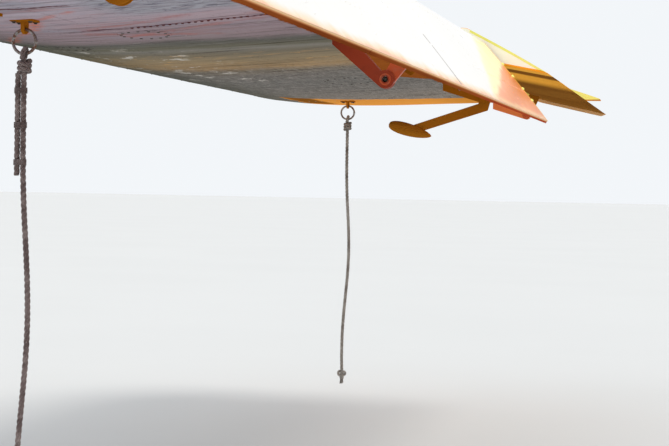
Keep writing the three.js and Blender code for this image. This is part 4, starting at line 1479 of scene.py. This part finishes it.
def aileron(paints):
    span, outline = (AILERON_INNER, AILERON_OUTER), aileron_outline()
    part = Hinged("aileron", "yellow_paint", AILERON_HINGE, AILERON_DROOP, AILERON_TWIST, span, outline)
    pale, lit_lemon, under = paints["pale"], paints["lit_lemon"], paints["aileron_under"]
    hinged_skin(part, "aileron_skin", AILERON_BEADS, [paints["yellow"], under], 1)
    # The end rib's pale web and its lemon top band are painted sunlight
    bands = [(edge_band(part, *band), -0.0008, 0.0008, kind) for *band, kind in AILERON_BANDS]
    end_rib(part, "inboard", AILERON_INNER, [pale, paints["amber"], lit_lemon], bands)
    lip = [(under_lip(part, RIB_LIP), 0.002, 0.006, 1)]
    end_rib(part, "outboard", AILERON_OUTER - END_RIB, [pale, paints["tan"], lit_lemon], lip)
    hinged_rivets(part, AILERON_RIVETS, [AILERON_INNER + 0.02, AILERON_OUTER - 0.022], -1, under)


# Fittings
def foot_bolts(build, xs, ys, z, across=0.0055, height=0.0045):
    """Bolts up into a fitting's foot, where the rows in x and y cross."""
    for x in xs:
        for y in ys:
            build.bolt(place(x, y, z), (0, 0, -1), across, height)


def bracket_fasteners(dark, orange, brown):
    """Bolts in the feet of brackets, lug and tie-downs, and washers and heads on the hinge pins."""
    build = Build()
    stations = [(FLAP_HINGE, y) for y in FLAP_STATIONS] + [(AILERON_HINGE, y) for y in AILERON_STATIONS]
    low = skin(BRACKET_FOOT_X, -1) - FOOT_THICKNESS
    washer = [(0, 0.0128), (0.0014, 0.0128), (0.0014, 0.0172), (0, 0.0172)]
    for (hx, hz), y in stations:
        foot_bolts(build, BRACKET_BOLTS, about(y, BRACKET_BOLTS_HALF), low)
        kind = 1 if y in (FLAP_STATIONS[1], AILERON_STATIONS[1]) else 2
        for side in (1, -1):
            normal = (0, side, 0)
            build.hoop(place(hx, y + side * BRACKET_HALF, hz), normal, washer, 28, kind)
            if y in FLAP_STATIONS:
                build.head(place(hx, y, hz), normal, 0.0088, 0.009, 0, 20)
            else:
                build.head(place(hx, y + side * 0.0145, hz), normal, 0.0118, 0.0014, kind, 20)
    strut_rows = (STRUT_LUG_Y - STRUT_BOLTS_APART, STRUT_LUG_Y, STRUT_LUG_Y + STRUT_BOLTS_APART)
    foot_bolts(build, STRUT_BOLTS, strut_rows, skin(FRONT_SPAR, -1) - 0.0063, 0.0065, 0.0055)
    half_x, half_y = TIEDOWN_BOLTS_HALF
    xs, foot = about(TIEDOWN_X, half_x), skin(TIEDOWN_X, -1) - FOOT_THICKNESS
    for y, _ in TIEDOWNS.values():
        foot_bolts(build, xs, about(y, half_y), foot, 0.0042, 0.0035)
    build.finish("fitting_bolts", [dark, orange, brown], "wing", "steel", sharp=30)


def tiedown_rings(material):
    """The wrought rings, a little uneven, with their weld."""
    for end in TIEDOWNS:
        low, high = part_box(f"tiedown_ring_{end}")
        middle = (low + high) / 2
        radius = (high.x - low.x) / 2 - RING_BAR
        path = []
        for i in range(72):
            a = 2 * math.pi * i / 72
            r = radius * (1 + 0.006 * math.sin(2 * a + 0.6))
            path.append(middle + Vector((r * math.cos(a), 0, r * math.sin(a))))
        build = Build()
        build.tube(path, RING_BAR, 16, True)
        weld = [(-0.005, 0.0038), (-0.002, 0.0049), (0.002, 0.0049), (0.005, 0.0038)]
        build.lathe(middle + Vector((radius, 0, 0)), (0, 0, 1), weld, 18)
        build.finish(f"wrought_ring_{end}", [material], "wing", "steel", [f"tiedown_ring_{end}"], 40)


def weight_radius(t):
    """The balance weight's radius at a share of its length: blunt in front, drawn out behind."""
    return WEIGHT_RADIUS * 1.98 * t**0.40 * (1 - t) ** 0.62


def balance(brown):
    """The balance weight's smooth body with its clamping screws."""
    low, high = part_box("balance_weight")
    middle = (low + high) / 2
    a = math.radians(WEIGHT_PITCH)
    axis = Vector((math.cos(a), 0, -math.sin(a)))
    build = Build()
    profile = [(WEIGHT_LENGTH * (i / 40 - 0.5), weight_radius(i / 40)) for i in range(41)]
    build.lathe(middle, axis, profile, 40)
    build.finish("balance_bob", [brown], "aileron", "yellow_paint", ["balance_weight"], 60)
    screws = Build()
    for along in (-0.012, 0.030):
        out = weight_radius(0.5 + along / WEIGHT_LENGTH) - 0.0004
        for side in (1, -1):
            spot = middle + axis * along + Vector((0, side * out, 0))
            screws.head(spot, (0, side, 0), 0.004, 0.0014, 0, 12)
    screws.finish("balance_screws", [brown], "aileron", "steel", sharp=40)


def paint_cad(paints):
    """Finishes and smooth shading for the nodes that keep their own shape."""
    for look, nodes in CAD_LOOKS.items():
        for node in nodes:
            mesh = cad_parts[node].data
            mesh.materials.clear()
            mesh.materials.append(paints[look])
            for polygon in mesh.polygons:
                polygon.material_index = 0
            mesh.shade_smooth()
            mesh.set_sharp_from_angle(angle=math.radians(28))


def main():
    camera()
    hanging_ropes()
    paints = all_paints()
    wing(paints)
    flap(paints)
    aileron(paints)
    balance(paints["brown"])
    bracket_fasteners(paints["dark"], paints["half_lit_orange"], paints["brown"])
    tiedown_rings(paints["steel"])
    paint_cad(paints)
    floor(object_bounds()[0].z - FLOOR_DROP)
    lights()


main()
